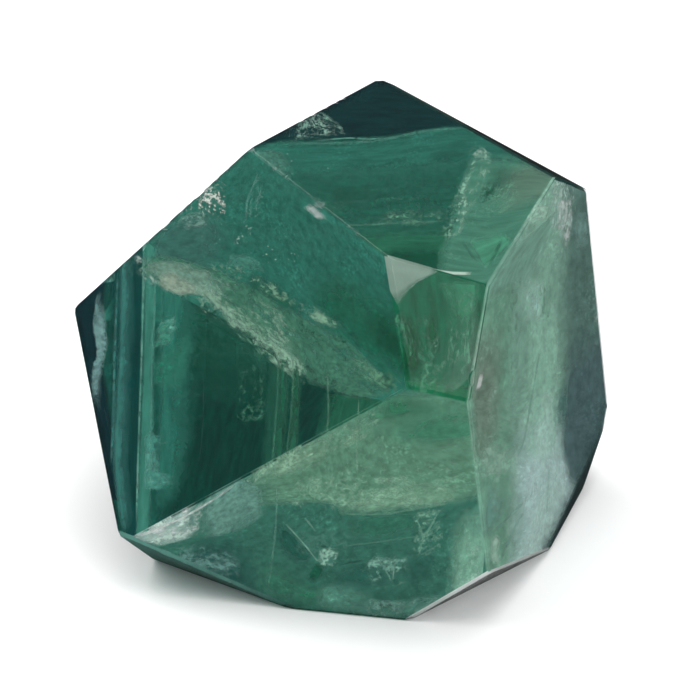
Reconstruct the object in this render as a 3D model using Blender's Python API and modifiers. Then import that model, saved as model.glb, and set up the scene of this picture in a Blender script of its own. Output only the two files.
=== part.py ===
"""A clear green fluorite octahedron: one natural crystal, lopsided, with worn edges and small chips.

Units are metres and +Z is up. The crystal lies on one of its eight large faces. The origin is on
the surface it rests on, under the middle of its box, and its blunt front tip looks towards -Y.

Eight large faces close the octahedron. Smaller faces blunt its tips, a bevel wears its edges, and
flat scoops take out the dish in the front tip, the chips in the ridges and the nicks in the rims.
"""

from __future__ import annotations

from dataclasses import dataclass
from math import cos, radians, sin, sqrt
from random import Random

import bmesh
import bpy
from mathutils import Matrix, Vector

MM = 0.001
NAME = "fluorite_octahedron"

ROUGH_BLOCK = 120.0 * MM  # side of the block that the faces are cut from
MERGE = 0.00001  # points nearer than this are one point
WORN_EDGE = 0.30 * MM  # width of the rounding along each edge
WORN_EDGE_STEPS = 3
WORN_CORNER = 0.9 * MM  # how far the sharp corners are worn back along their edges
FRESH_ZONE = 0.5 * MM  # corners this near the front tip's face stay sharp
FLAT_ANGLE = radians(4.0)  # edges flatter than this are not rounded

GREEN = (0.10, 0.36, 0.27, 1.0)
POLISH = 0.06  # roughness of the polished faces
FLUORITE_IOR = 1.434


@dataclass(frozen=True)
class Face:
    """A flat face of the crystal.

    bearing: where it looks, in degrees anticlockwise from +X, seen from above.
    rise: how far it looks up from the horizontal, in degrees.
    reach: how far it lies from the crystal's middle, in millimetres.
    """

    bearing: float
    rise: float
    reach: float

    def outward(self) -> Vector:
        level = cos(radians(self.rise))
        bearing = radians(self.bearing)
        return Vector((level * cos(bearing), level * sin(bearing), sin(radians(self.rise))))


OCTAHEDRON = {
    "top": Face(322, 76, 23.5),
    "left": Face(240, 28, 25.4),
    "front": Face(275, -10, 28.6),
    "right": Face(346, 10, 20.6),
    "base": Face(0, -90, 16.2),
    "back": Face(95, 9, 13.4),
    "back_left": Face(178, -26, 20.7),
    "back_foot": Face(84, -45, 21.2),
}
BLUNT_TIPS = {
    "front_tip": Face(284, 42, 30.4),
    "left_shoulder": Face(153, 34, 18.3),
    "right_shoulder": Face(40, 62, 25.7),
    "right_heel": Face(349, -5, 24.9),
    "right_foot": Face(327, -44, 27.1),
    "left_foot": Face(244, -56, 27.2),
}
FACES = OCTAHEDRON | BLUNT_TIPS


@dataclass(frozen=True)
class Scoop:
    """A shallow shell-shaped bite, cut by a flattened ball.

    place: the point of the surface under its middle.
    outward: the way it opens.
    along: the way its length runs.
    length, width, depth: its size on a flat face, in millimetres.
    grain: how finely its ball is divided, from 2 for a splintery nick to 5 for a smooth dish.
    """

    place: Vector
    outward: Vector
    along: Vector
    length: float
    width: float
    depth: float
    grain: int


# The ball's middle stands this many depths above the surface, and its half height is one more.
BALL_LIFT = 4.0


@dataclass(frozen=True)
class RidgeChip:
    """A chip in the ridge between two faces.

    ridge: the two faces that meet there.
    ends: the faces that close the ridge at its start and at its end.
    share: how far along the ridge it sits, from 0 at the start to 1 at the end.
    length, width, depth: its size in millimetres.
    """

    ridge: tuple[str, str]
    ends: tuple[str, str]
    share: float
    length: float
    width: float
    depth: float


UPPER_RIDGE = (("left", "top"), ("front_tip", "left_shoulder"))
TIP_RIDGE = (("right", "front_tip"), ("front", "top"))
LEFT_RIM = (("left", "left_shoulder"), ("back_left", "top"))
TOP_RIM = (("top", "left_shoulder"), ("left", "back"))
FOOT_RIM = (("front", "left_foot"), ("left", "base"))

CHIPS = (
    RidgeChip(*UPPER_RIDGE, share=0.51, length=1.9, width=1.6, depth=0.45),
    RidgeChip(*UPPER_RIDGE, share=0.24, length=1.0, width=0.8, depth=0.28),
    RidgeChip(*UPPER_RIDGE, share=0.83, length=1.2, width=0.9, depth=0.30),
    RidgeChip(*TIP_RIDGE, share=0.18, length=1.8, width=1.3, depth=0.40),
    RidgeChip(*LEFT_RIM, share=0.52, length=1.3, width=1.4, depth=0.55),
    RidgeChip(*LEFT_RIM, share=0.71, length=1.5, width=1.6, depth=0.60),
    RidgeChip(*FOOT_RIM, share=0.22, length=1.6, width=1.4, depth=0.50),
)

# The dish worn into the front tip, in millimetres.
DISH_LENGTH = 12.4
DISH_WIDTH = 8.0
DISH_DEPTH = 0.28

# Runs of small nicks: the rim, the first and last share, and how many.
NICKED_RIMS = (
    (LEFT_RIM, 0.60, 0.90, 6),
    (TOP_RIM, 0.38, 0.75, 5),
    (FOOT_RIM, 0.30, 0.95, 7),
)
NICK_LENGTH = (0.5, 1.1)
NICK_WIDTH = (0.5, 1.0)
NICK_DEPTH = (0.18, 0.38)
NICK_SEED = 8

SMOOTH_GRAIN = 4
DISH_GRAIN = 5
NICK_GRAIN = 2


def corner(*names: str) -> Vector:
    """The point where three faces meet, from the crystal's middle."""
    faces = [FACES[name] for name in names]
    normals = Matrix([face.outward() for face in faces])
    reaches = Vector([face.reach * MM for face in faces])
    return normals.inverted() @ reaches


def ridge_ends(ridge: tuple[str, str], ends: tuple[str, str]) -> tuple[Vector, Vector]:
    """The two ends of the ridge where two faces meet."""
    return corner(*ridge, ends[0]), corner(*ridge, ends[1])


def scoop_on_ridge(chip: RidgeChip, grain: int) -> Scoop:
    start, end = ridge_ends(chip.ridge, chip.ends)
    outward = sum((FACES[name].outward() for name in chip.ridge), Vector()).normalized()
    place = start.lerp(end, chip.share)
    along = (end - start).normalized()
    return Scoop(place, outward, along, chip.length, chip.width, chip.depth, grain)


def dish_in_front_tip() -> Scoop:
    """The dish fills the blunt front tip but for its four corners."""
    around = ("left", "top", "right", "front")
    corners = [corner("front_tip", a, b) for a, b in zip(around, around[1:] + around[:1])]
    middle = sum(corners, Vector()) / len(corners)
    upper = (corners[0] + corners[1]) / 2
    lower = (corners[2] + corners[3]) / 2
    outward = FACES["front_tip"].outward()
    along = (upper - lower).normalized()
    return Scoop(middle, outward, along, DISH_LENGTH, DISH_WIDTH, DISH_DEPTH, DISH_GRAIN)


def nicks() -> list[Scoop]:
    """Small splintery nicks scattered along the damaged rims."""
    dice = Random(NICK_SEED)
    found = []
    for (ridge, ends), first, last, count in NICKED_RIMS:
        for step in range(count):
            share = first + (last - first) * (step + dice.uniform(0.2, 0.8)) / count
            size = [dice.uniform(*span) for span in (NICK_LENGTH, NICK_WIDTH, NICK_DEPTH)]
            found.append(scoop_on_ridge(RidgeChip(ridge, ends, share, *size), NICK_GRAIN))
    return found


def cut_crystal() -> bmesh.types.BMesh:
    """A block cut down to the crystal by one plane for each face, around its middle."""
    solid = bmesh.new()
    bmesh.ops.create_cube(solid, size=ROUGH_BLOCK)
    for face in FACES.values():
        outward = face.outward()
        cut = bmesh.ops.bisect_plane(
            solid,
            geom=solid.verts[:] + solid.edges[:] + solid.faces[:],
            dist=MERGE,
            plane_co=outward * face.reach * MM,
            plane_no=outward,
            clear_outer=True,
        )
        rim = [part for part in cut["geom_cut"] if isinstance(part, bmesh.types.BMEdge)]
        bmesh.ops.contextual_create(solid, geom=rim)
    bmesh.ops.recalc_face_normals(solid, faces=solid.faces[:])
    return solid


def wear_corners(solid: bmesh.types.BMesh) -> None:
    """Takes the points off the corners, but for those around the fresh break in the front tip."""
    tip = FACES["front_tip"]
    outward = tip.outward()
    worn = [v for v in solid.verts if v.co.dot(outward) < tip.reach * MM - FRESH_ZONE]
    bmesh.ops.bevel(
        solid,
        geom=worn,
        offset=WORN_CORNER,
        offset_type="OFFSET",
        affect="VERTICES",
        segments=1,
        profile=0.5,
        clamp_overlap=True,
        material=-1,
    )


def resting_place(solid: bmesh.types.BMesh) -> Vector:
    """The move that puts the middle of the crystal's box over the origin and its base on z = 0."""
    low = Vector([min(v.co[axis] for v in solid.verts) for axis in range(3)])
    high = Vector([max(v.co[axis] for v in solid.verts) for axis in range(3)])
    return -Vector(((low.x + high.x) / 2, (low.y + high.y) / 2, low.z))


def make_cutter(name: str, scoop: Scoop, home: bpy.types.Collection, move: Vector) -> bpy.types.Object:
    """A flattened ball that bites scoop.depth deep and scoop.length by scoop.width wide."""
    half_height = (BALL_LIFT + 1) * scoop.depth
    rim_share = sqrt(1 - (BALL_LIFT / (BALL_LIFT + 1)) ** 2)
    side = scoop.outward.cross(scoop.along).normalized()
    axes = Matrix((side.cross(scoop.outward), side, scoop.outward)).transposed()
    half_sizes = (scoop.length / 2 / rim_share, scoop.width / 2 / rim_share, half_height)
    turned = axes @ Matrix.Diagonal([half * MM for half in half_sizes])
    centre = scoop.place + scoop.outward * BALL_LIFT * scoop.depth * MM + move
    ball = bmesh.new()
    bmesh.ops.create_icosphere(
        ball,
        subdivisions=scoop.grain,
        radius=1.0,
        matrix=Matrix.Translation(centre) @ turned.to_4x4(),
    )
    bmesh.ops.recalc_face_normals(ball, faces=ball.faces[:])
    mesh = bpy.data.meshes.new(name)
    ball.to_mesh(mesh)
    ball.free()
    cutter = bpy.data.objects.new(name, mesh)
    cutter.hide_render = True
    cutter.display_type = "WIRE"
    home.objects.link(cutter)
    return cutter


def clear_green() -> bpy.types.Material:
    """Clear, polished, sea-green fluorite."""
    material = bpy.data.materials.new("clear_green_fluorite")
    material.use_nodes = True
    shader = material.node_tree.nodes["Principled BSDF"]
    shader.inputs["Base Color"].default_value = GREEN
    shader.inputs["Roughness"].default_value = POLISH
    shader.inputs["Metallic"].default_value = 0.0
    shader.inputs["IOR"].default_value = FLUORITE_IOR
    shader.inputs["Transmission Weight"].default_value = 1.0
    return material


def new_collection(name: str) -> bpy.types.Collection:
    collection = bpy.data.collections.new(name)
    bpy.context.scene.collection.children.link(collection)
    return collection


def main() -> None:
    for old in list(bpy.data.objects):
        bpy.data.objects.remove(old, do_unlink=True)
    crystals = new_collection("fluorite octahedron")
    cutters = new_collection("chip cutters")

    solid = cut_crystal()
    wear_corners(solid)
    move = resting_place(solid)
    bmesh.ops.translate(solid, verts=solid.verts[:], vec=move)
    mesh = bpy.data.meshes.new(NAME)
    solid.to_mesh(mesh)
    solid.free()
    crystal = bpy.data.objects.new(NAME, mesh)
    crystals.objects.link(crystal)
    mesh.materials.append(clear_green())

    worn = crystal.modifiers.new("worn edges", "BEVEL")
    worn.width = WORN_EDGE
    worn.segments = WORN_EDGE_STEPS
    worn.limit_method = "ANGLE"
    worn.angle_limit = FLAT_ANGLE

    scoops = [dish_in_front_tip()]
    scoops += [scoop_on_ridge(chip, SMOOTH_GRAIN) for chip in CHIPS]
    scoops += nicks()
    for number, scoop in enumerate(scoops):
        cutter = make_cutter(f"scoop_{number:02d}", scoop, cutters, move)
        bite = crystal.modifiers.new(f"bite {number:02d}", "BOOLEAN")
        bite.operation = "DIFFERENCE"
        bite.solver = "EXACT"
        bite.object = cutter


main()
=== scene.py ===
"""Dresses the clear green fluorite octahedron: its glassy skin and the zones, veils and chips in it.

The crystal is clear, so what makes it itself lies under its faces: navy, teal and green growth
zones, milky clouds, fibrous veils, feathers and crusts. Each is a thin sheet laid half a millimetre or
less under one face, and the skin bends the light on its way to it. Sheets there also hold painted
shade and light along the rims, and painted highlights on the pale breaks round the blunt tip and on
a chip of a ridge.
"""

from __future__ import annotations

import logging
from dataclasses import dataclass, field
from enum import Enum
from math import cos, radians, sin, sqrt
from typing import Any, TypeVar

import bmesh
import bpy
from mathutils import Matrix, Vector

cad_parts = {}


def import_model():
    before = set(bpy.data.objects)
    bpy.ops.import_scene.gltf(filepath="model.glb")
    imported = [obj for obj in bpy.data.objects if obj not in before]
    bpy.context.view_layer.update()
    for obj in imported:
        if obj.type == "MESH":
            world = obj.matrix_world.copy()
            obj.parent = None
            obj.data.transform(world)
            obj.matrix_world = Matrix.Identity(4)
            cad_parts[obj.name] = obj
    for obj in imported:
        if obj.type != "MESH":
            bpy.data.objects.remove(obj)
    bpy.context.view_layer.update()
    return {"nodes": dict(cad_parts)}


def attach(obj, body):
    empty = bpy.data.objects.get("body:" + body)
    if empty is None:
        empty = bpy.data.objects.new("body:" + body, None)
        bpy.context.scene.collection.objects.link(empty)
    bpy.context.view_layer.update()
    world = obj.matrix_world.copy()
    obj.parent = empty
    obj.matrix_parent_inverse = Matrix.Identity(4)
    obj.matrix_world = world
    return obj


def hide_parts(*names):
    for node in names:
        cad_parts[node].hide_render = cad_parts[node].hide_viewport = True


LOG = logging.getLogger("fluorite")
MM = 0.001
NODE = "fluorite_octahedron"
BODY = "root"
FLUORITE_IOR = 1.434
MIDDLE = Vector((-0.5085, 6.4683, 16.2))  # the crystal's middle, in millimetres

# The three directions that the colour zones grew along.
ACROSS = Vector((0.9906, 0.0545, 0.1255)).normalized()
UP = Vector((-0.1368, 0.3944, 0.9087)).normalized()
OUT = ACROSS.cross(UP).normalized()

Point = tuple[float, float]
Line = tuple[Point, ...]
Colour = tuple[int, ...]
Ways = tuple[float, float, float]
Soft = tuple[float, float, float, float]
Number = TypeVar("Number", int, float)

HARD = (0.0, 0.0, 0.0, 0.0)  # a sheet that doesn't fade out at its ends or edges
THREAD_SOFT = (0.12, 0.12, 0.45, 0.45)  # what fades out of a thread: its ends, then its edges
PAINT_RANGE = 0.002, 0.92  # the darkest and the palest that a sheet's colour may be


@dataclass(frozen=True)
class Face:
    """A flat face of the crystal.

    bearing: where it looks, in degrees anticlockwise from +X, seen from above.
    rise: how far it looks up from the horizontal, in degrees.
    reach: how far it lies from the crystal's middle, in millimetres.
    light: how brightly the studio lights what lies just under it.
    glare: how bright the surroundings are that it mirrors to the front.
    dip: how deep its skin is scooped out, in millimetres.
    """

    bearing: float
    rise: float
    reach: float
    light: float = 0.8
    glare: float = 0.01
    dip: float = 0.0

    def outward(self) -> Vector:
        """Works out the way the face looks.

        Returns:
            Its outward normal.
        """
        level = cos(radians(self.rise))
        bearing = radians(self.bearing)
        return Vector((level * cos(bearing), level * sin(bearing), sin(radians(self.rise))))


FACES = {
    "top": Face(322, 76, 23.5, 0.84, 0.008),
    "left": Face(240, 28, 25.4, 0.81, 0.008),
    "front": Face(275, -10, 28.6, 0.62, 0.004),
    "right": Face(346, 10, 20.6, 0.47, 0.008),
    "base": Face(0, -90, 16.2),
    "back": Face(95, 9, 13.4),
    "back_left": Face(178, -26, 20.7),
    "back_foot": Face(84, -45, 21.2),
    "front_tip": Face(284, 42, 30.4, 1.40, 0.02, 0.35),
    "left_shoulder": Face(153, 34, 18.3),
    "right_shoulder": Face(40, 62, 25.7),
    "right_heel": Face(349, -5, 24.9),
    "right_foot": Face(327, -44, 27.1, 0.165, 0.12),
    "left_foot": Face(244, -56, 27.2),
}


class Pattern(Enum):
    """How an inclusion's substance is broken up."""

    CLOUD = "soft cloud"
    FIBRE = "drawn fibres"
    LACE = "lacy threads"
    GRAIN = "separate grains"


@dataclass(frozen=True)
class CrystalForm:
    """The crystal's flat faces, and how light bends on its way in through them.

    faces: the flat faces by name.
    eye: the point the front is looked at from, in millimetres.
    """

    faces: dict[str, Face]
    eye: Vector

    def under(self, name: str, place: Point, depth: float) -> Vector:
        """Finds the point that shows at a place of the front, some way under a face.

        Args:
            name: the face that it shows through.
            place: millimetres across and up from the middle, as the front is seen.
            depth: how far it lies under the face, in millimetres.

        Returns:
            The point, in metres.
        """
        face = self.faces[name]
        outward = face.outward()
        ray = (MIDDLE + ACROSS * place[0] + UP * place[1] - self.eye).normalized()
        facing = -ray.dot(outward)
        away = (self.eye - MIDDLE - outward * face.reach).dot(outward) / facing
        bent_in = sqrt(1.0 - (1.0 - facing**2) / FLUORITE_IOR**2)
        bent = ray / FLUORITE_IOR + outward * (facing / FLUORITE_IOR - bent_in)
        return (self.eye + ray * away + bent * (depth / bent_in)) * MM

    def clip(self, mesh: bmesh.types.BMesh, margin: float, behind: float, closed: bool = False) -> None:
        """Cuts away what lies outside the crystal.

        Args:
            mesh: what is cut.
            margin: how far inside the faces and their scoops the cuts lie, in millimetres.
            behind: the same for the faces that look away from the front.
            closed: whether each cut is closed with a face.
        """
        for face in self.faces.values():
            outward = face.outward()
            inside = margin if outward.dot(OUT) > 0.0 else behind
            cut = bmesh.ops.bisect_plane(
                mesh,
                geom=[*mesh.verts, *mesh.edges, *mesh.faces],
                dist=MM * 0.0001,
                plane_co=(MIDDLE + outward * (face.reach - face.dip - inside)) * MM,
                plane_no=outward,
                clear_outer=True,
            )
            rim = [part for part in cut["geom_cut"] if isinstance(part, bmesh.types.BMEdge)]
            if closed and rim:
                bmesh.ops.contextual_create(mesh, geom=rim)


class Bench:
    """Lays out the nodes of a tree."""

    def __init__(self, tree: bpy.types.NodeTree) -> None:
        """Clears a tree to lay nodes out in it."""
        self.tree = tree
        self.tree.nodes.clear()

    def fill(self, node: bpy.types.Node, inputs: dict[Any, Any]) -> bpy.types.Node:
        """Fills a node's inputs with values or links.

        Args:
            node: the node.
            inputs: a value or a socket for each input's name or number.

        Returns:
            The node.
        """
        for key, value in inputs.items():
            if isinstance(value, bpy.types.NodeSocket):
                self.tree.links.new(value, node.inputs[key])
            else:
                node.inputs[key].default_value = value
        return node

    def node(self, kind: str, inputs: dict[Any, Any] | None = None, **settings: Any) -> bpy.types.Node:
        """Adds a node.

        Args:
            kind: Blender's name for the node.
            inputs: a value or a socket for each input's name or number.
            settings: the node's own settings.

        Returns:
            The new node.
        """
        made = self.tree.nodes.new(kind)
        for name, value in settings.items():
            setattr(made, name, value)
        return self.fill(made, inputs or {})

    def maths(self, operation: str, *values: Any, clamp: bool = False) -> bpy.types.NodeSocket:
        """Returns the result of one sum on sockets or numbers."""
        inputs = dict(enumerate(values))
        return self.node("ShaderNodeMath", inputs, operation=operation, use_clamp=clamp).outputs[0]

    def vector(self, operation: str, *values: Any) -> bpy.types.NodeSocket:
        """Returns the result of one sum on directions or colours."""
        inputs = dict(enumerate(values))
        return self.node("ShaderNodeVectorMath", inputs, operation=operation).outputs[0]

    def scaled(self, value: Any, times: Any) -> bpy.types.NodeSocket:
        """Returns a direction or a colour made a number of times as strong."""
        inputs = {0: value, "Scale": times}
        return self.node("ShaderNodeVectorMath", inputs, operation="SCALE").outputs[0]

    def added(self, first: Any, second: Any, share: float) -> bpy.types.NodeSocket:
        """Returns a first pattern with a share of a second one added."""
        return self.maths("ADD", first, self.maths("MULTIPLY", second, share))

    def ease(self, value: Any, low: float, high: float, start: Any = 0.0, end: Any = 1.0) -> Any:
        """Returns a smooth step of a value from start, at low, to end, at high."""
        inputs = {"Value": value, "From Min": low, "From Max": high, "To Min": start, "To Max": end}
        return self.node("ShaderNodeMapRange", inputs, interpolation_type="SMOOTHSTEP").outputs[0]

    def blend(self, share: Any, first: Any, second: Any) -> bpy.types.NodeSocket:
        """Returns a blend of two colours."""
        inputs = {0: share, 6: first, 7: second}
        return self.node("ShaderNodeMix", inputs, data_type="RGBA").outputs[2]

    def attribute(self, name: str, output: str = "Fac") -> bpy.types.NodeSocket:
        """Returns one of the piece's own attributes."""
        return self.node("ShaderNodeAttribute", attribute_name=name).outputs[output]

    def lie(self, along: float, across: float) -> bpy.types.NodeSocket:
        """Reads the sheet's own millimetres.

        Args:
            along: how much they are scaled along the sheet.
            across: how much they are scaled across it.

        Returns:
            The scaled place on the sheet.
        """
        sheet = self.node("ShaderNodeUVMap", uv_map="lie").outputs["UV"]
        inputs = {"Vector": sheet, "Scale": (along, across, 1.0)}
        return self.node("ShaderNodeMapping", inputs).outputs[0]

    def grown(self, stretch: Ways = (1.0, 1.0, 1.0)) -> bpy.types.NodeSocket:
        """Reads millimetres across, up and out from the crystal's middle.

        Args:
            stretch: how much they are scaled each way.

        Returns:
            The scaled place in the crystal.
        """
        turn = Matrix((ACROSS, UP, OUT))
        inputs = {
            "Vector": self.node("ShaderNodeTexCoord").outputs["Object"],
            "Location": -(turn @ MIDDLE),
            "Rotation": turn.to_euler(),
            "Scale": (1.0 / MM,) * 3,
        }
        grown = self.node("ShaderNodeMapping", inputs).outputs[0]
        return self.node("ShaderNodeMapping", {"Vector": grown, "Scale": stretch}).outputs[0]

    def noise(
        self, where: Any, scale: float = 1.0, detail: float = 3.0, warp: float = 0.0, rough: float = 0.5
    ) -> bpy.types.NodeSocket:
        """Lays soft noise, about 0.5 on average.

        Args:
            where: the place it's read at.
            scale: how often it repeats.
            detail: how many finer and finer noises are laid over one another.
            warp: how far it's pulled about.
            rough: how strong the finer noises are.

        Returns:
            The noise.
        """
        inputs = {"Vector": where, "Scale": scale, "Detail": detail, "Distortion": warp}
        inputs["Roughness"] = rough
        return self.node("ShaderNodeTexNoise", inputs).outputs[0]

    def cells(self, where: Any, scale: float) -> bpy.types.NodeSocket:
        """Returns how far the middle of a cell lies, in a pattern of cells."""
        return self.node("ShaderNodeTexVoronoi", {"Vector": where, "Scale": scale}).outputs["Distance"]


class FinishBench(Bench):
    """Lays out the nodes of one material."""

    def __init__(self, name: str) -> None:
        """Starts a material with a plain surface.

        Args:
            name: the material's name.
        """
        self.material = bpy.data.materials.new(name)
        self.material.use_nodes = True
        super().__init__(self.material.node_tree)
        self.output = self.node("ShaderNodeOutputMaterial")
        self.surface = self.node("ShaderNodeBsdfPrincipled")
        self.output_link("Surface", self.surface.outputs["BSDF"])

    def output_link(self, name: str, socket: bpy.types.NodeSocket) -> None:
        """Joins a socket to the material's output."""
        self.tree.links.new(socket, self.output.inputs[name])

    def milky(self, tint: Any, alpha: Any) -> None:
        """Makes the surface a dull haze of a colour and a density."""
        inputs = {"Base Color": tint, "Roughness": 0.85, "Specular IOR Level": 0.0, "Alpha": alpha}
        self.fill(self.surface, inputs)


def linear(colour: Colour) -> tuple[float, float, float, float]:
    """Turns a paint chip's colour into light.

    Args:
        colour: red, green and blue, 0 to 255.

    Returns:
        Red, green and blue light and full cover, 0 to 1.
    """
    shares = [part / 255.0 for part in colour]
    lit = [part / 12.92 if part < 0.04045 else ((part + 0.055) / 1.055) ** 2.4 for part in shares]
    return (*lit, 1.0)


@dataclass(frozen=True)
class SkinFinish:
    """The clear crystal: glassy, faintly etched, and drinking red light most.

    polish: roughness of the skin.
    drunk: how much red, green and blue light a metre of it takes up.
    wave: height of the faint growth waves at full strength, in millimetres.
    """

    polish: float = 0.05
    drunk: Ways = (70.0, 34.0, 42.0)
    wave: float = 0.08

    def material(self) -> bpy.types.Material:
        """Makes the skin's material.

        Returns:
            The material.
        """
        bench = FinishBench("clear fluorite")
        where = bench.grown()
        wave = bench.noise(where, scale=0.22, detail=4.0)
        scratch = bench.noise(bench.grown((0.35, 3.0, 0.35)), scale=1.6, detail=4.0, warp=1.2)
        pits = bench.ease(bench.cells(where, 0.9), 0.0, 0.12)
        relief = bench.added(bench.maths("MULTIPLY", wave, 2.0), scratch, 0.10)
        relief = bench.added(relief, pits, 0.12)
        inputs = {"Height": relief, "Strength": 0.35, "Distance": self.wave * MM}
        bump = bench.node("ShaderNodeBump", inputs)
        bench.fill(
            bench.surface,
            {
                "Base Color": (1.0, 1.0, 1.0, 1.0),
                "Roughness": self.polish,
                "IOR": FLUORITE_IOR,
                "Transmission Weight": 1.0,
                "Normal": bump.outputs[0],
            },
        )
        most = max(self.drunk)
        passed = (*(1.0 - part / most for part in self.drunk), 1.0)
        drink = bench.node("ShaderNodeVolumeAbsorption", {"Color": passed, "Density": most})
        bench.output_link("Volume", drink.outputs[0])
        return bench.material


@dataclass(frozen=True)
class SheetFinish:
    """What a sheet under the skin is made of.

    name: the finish's name.
    pattern: how it is broken up.
    grain: how many times a millimetre its pattern repeats, along and across the sheet.
    thin, thick: the pattern's values where it starts to show and where it is densest.
    least: how much of it is left between its densest parts.
    ragged: how unevenly its soft edges run out.
    streak: how many times a millimetre its brightness varies, along and across the sheet.
    mottle: how much its brightness varies.
    crumbs: how much lighter the crumbs strewn over it are.
    """

    name: str
    pattern: Pattern
    grain: tuple[float, float]
    thin: float
    thick: float
    least: float
    ragged: float
    streak: tuple[float, float]
    mottle: float
    crumbs: float = 0.0

    def figure(self, bench: Bench) -> bpy.types.NodeSocket:
        """Lays the pattern that the sheet is broken up by.

        Args:
            bench: where its nodes are laid out.

        Returns:
            The pattern's value over the sheet.
        """
        where = bench.lie(*self.grain)
        broad = bench.noise(bench.lie(0.28, 0.4))
        if self.pattern is Pattern.CLOUD:
            return bench.added(bench.noise(where, detail=8.0, rough=0.6), broad, 0.7)
        if self.pattern is Pattern.FIBRE:
            return bench.added(bench.noise(where, detail=9.0, warp=0.2, rough=0.65), broad, 0.5)
        if self.pattern is Pattern.LACE:
            return bench.added(bench.noise(where, detail=12.0, warp=0.25, rough=0.78), broad, 0.6)
        near = bench.cells(where, 1.0)
        return bench.maths("SUBTRACT", bench.noise(where, scale=0.35, detail=2.0), near)

    def strewn(self, bench: Bench) -> bpy.types.NodeSocket:
        """Lays the pattern of crumbs, which lie in drifts.

        Args:
            bench: where its nodes are laid out.

        Returns:
            The pattern's value over the sheet.
        """
        drifts = bench.noise(bench.lie(0.22, 0.3), detail=2.0)
        crumbs = bench.noise(bench.lie(2.6, 2.6), detail=5.0, warp=0.2, rough=0.7)
        return bench.added(crumbs, drifts, 0.5)

    def material(self) -> bpy.types.Material:
        """Makes the sheet's material.

        Returns:
            The material.
        """
        bench = FinishBench(self.name)
        figure = bench.ease(self.figure(bench), self.thin, self.thick, self.least, 1.0)
        fine = bench.noise(bench.lie(1.6, 1.6), detail=9.0, rough=0.7)
        tear = bench.ease(bench.maths("ADD", bench.noise(bench.lie(0.3, 0.3)), fine), 0.65, 1.35)
        cover = bench.maths("MULTIPLY", bench.attribute("cover"), 1.0 + self.ragged)
        cover = bench.maths("SUBTRACT", cover, bench.maths("MULTIPLY", tear, self.ragged), clamp=True)
        cover = bench.maths("MULTIPLY", cover, figure)
        alpha = bench.maths("MULTIPLY", cover, bench.attribute("body"), clamp=True)
        mottle = bench.noise(bench.lie(*self.streak), detail=10.0, rough=0.65)
        light = bench.ease(mottle, 0.28, 0.72, 1.0 - self.mottle, 1.0 + self.mottle)
        if self.crumbs > 0.0:
            strewn = bench.ease(self.strewn(bench), 0.80, 1.02, 0.0, self.crumbs)
            light = bench.maths("ADD", light, strewn)
        bench.milky(bench.scaled(bench.attribute("tint", "Color"), light), alpha)
        return bench.material


ZONE = SheetFinish("growth zone", Pattern.CLOUD, (0.5, 0.9), 0.45, 0.90, 0.92, 0.45, (1.0, 1.3), 0.27, 0.8)
BAND = SheetFinish(
    "growth bands", Pattern.CLOUD, (0.3, 0.9), 0.45, 0.90, 0.92, 0.5, (0.25, 1.9), 0.23, 0.45
)
CLOUD = SheetFinish("milky cloud", Pattern.CLOUD, (0.9, 1.2), 0.55, 0.95, 0.35, 1.0, (1.5, 1.9), 0.32, 0.6)
FIBRES = SheetFinish("fibrous veil", Pattern.FIBRE, (0.9, 2.8), 0.68, 0.92, 0.0, 1.4, (0.8, 1.6), 0.2)
FEATHER = SheetFinish("feathery veil", Pattern.LACE, (1.5, 1.9), 0.76, 0.94, 0.0, 1.2, (1.0, 1.0), 0.25)
CRUST = SheetFinish("crust", Pattern.LACE, (2.2, 2.2), 0.79, 0.89, 0.0, 1.2, (1.0, 1.0), 0.2)
SPECKS = SheetFinish("specks", Pattern.GRAIN, (2.6, 3.2), 0.37, 0.44, 0.0, 0.8, (1.0, 1.0), 0.3)
# Also the finish of a ridge chip's white, which is a painted highlight.
LINE_AND_GLINT = SheetFinish("growth line and painted glint", Pattern.FIBRE, (1.4, 0.9), 0.60, 0.95, 0.45, 0.5, (0.8, 0.8), 0.15)
# Pale breaks with a painted highlight on them.
BREAK_AND_PAINTED_GLEAM = SheetFinish("pale break, painted gleam", Pattern.CLOUD, (0.3, 0.5), 0.45, 0.75, 0.90, 0.2, (0.4, 0.4), 0.08)
RIM = SheetFinish("rim shade", Pattern.CLOUD, (0.3, 0.5), 0.45, 0.75, 0.55, 0.5, (0.4, 0.4), 0.15)


@dataclass(frozen=True)
class Sheet:
    """A thin sheet under one face, between two edge lines.

    face: the face that it lies under.
    low, high: its two edge lines, in millimetres across and up as the front is seen.
    tint: its colour, as a paint chip.
    body: how dense it is, from 0 to 1.
    soft: the share of it that fades out at its start, its end, its low and its high edge.
    depth: how far under the face it lies, in millimetres.
    """

    face: str
    low: Line
    high: Line
    tint: Colour
    body: float
    soft: Soft
    depth: float


def line(places: str) -> Line:
    """Reads a line's points, each noted as its millimetres across and up with a comma between."""
    return tuple(tuple(float(part) for part in place.split(",")) for place in places.split())


def chip(code: str) -> Colour:
    """Reads a paint chip's code: red, green and blue in two hexadecimal digits each."""
    return tuple(bytes.fromhex(code))


def under(face: str, *notes: tuple[str, str, str, float, Soft, float]) -> tuple[Sheet, ...]:
    """Makes the sheets noted down for one face.

    Args:
        face: the face that they lie under.
        notes: each sheet's low and high line, paint chip, body, soft shares and depth.

    Returns:
        The sheets.
    """
    read = ((line(low), line(high), chip(code), *rest) for low, high, code, *rest in notes)
    return tuple(Sheet(face, *note) for note in read)


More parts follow.
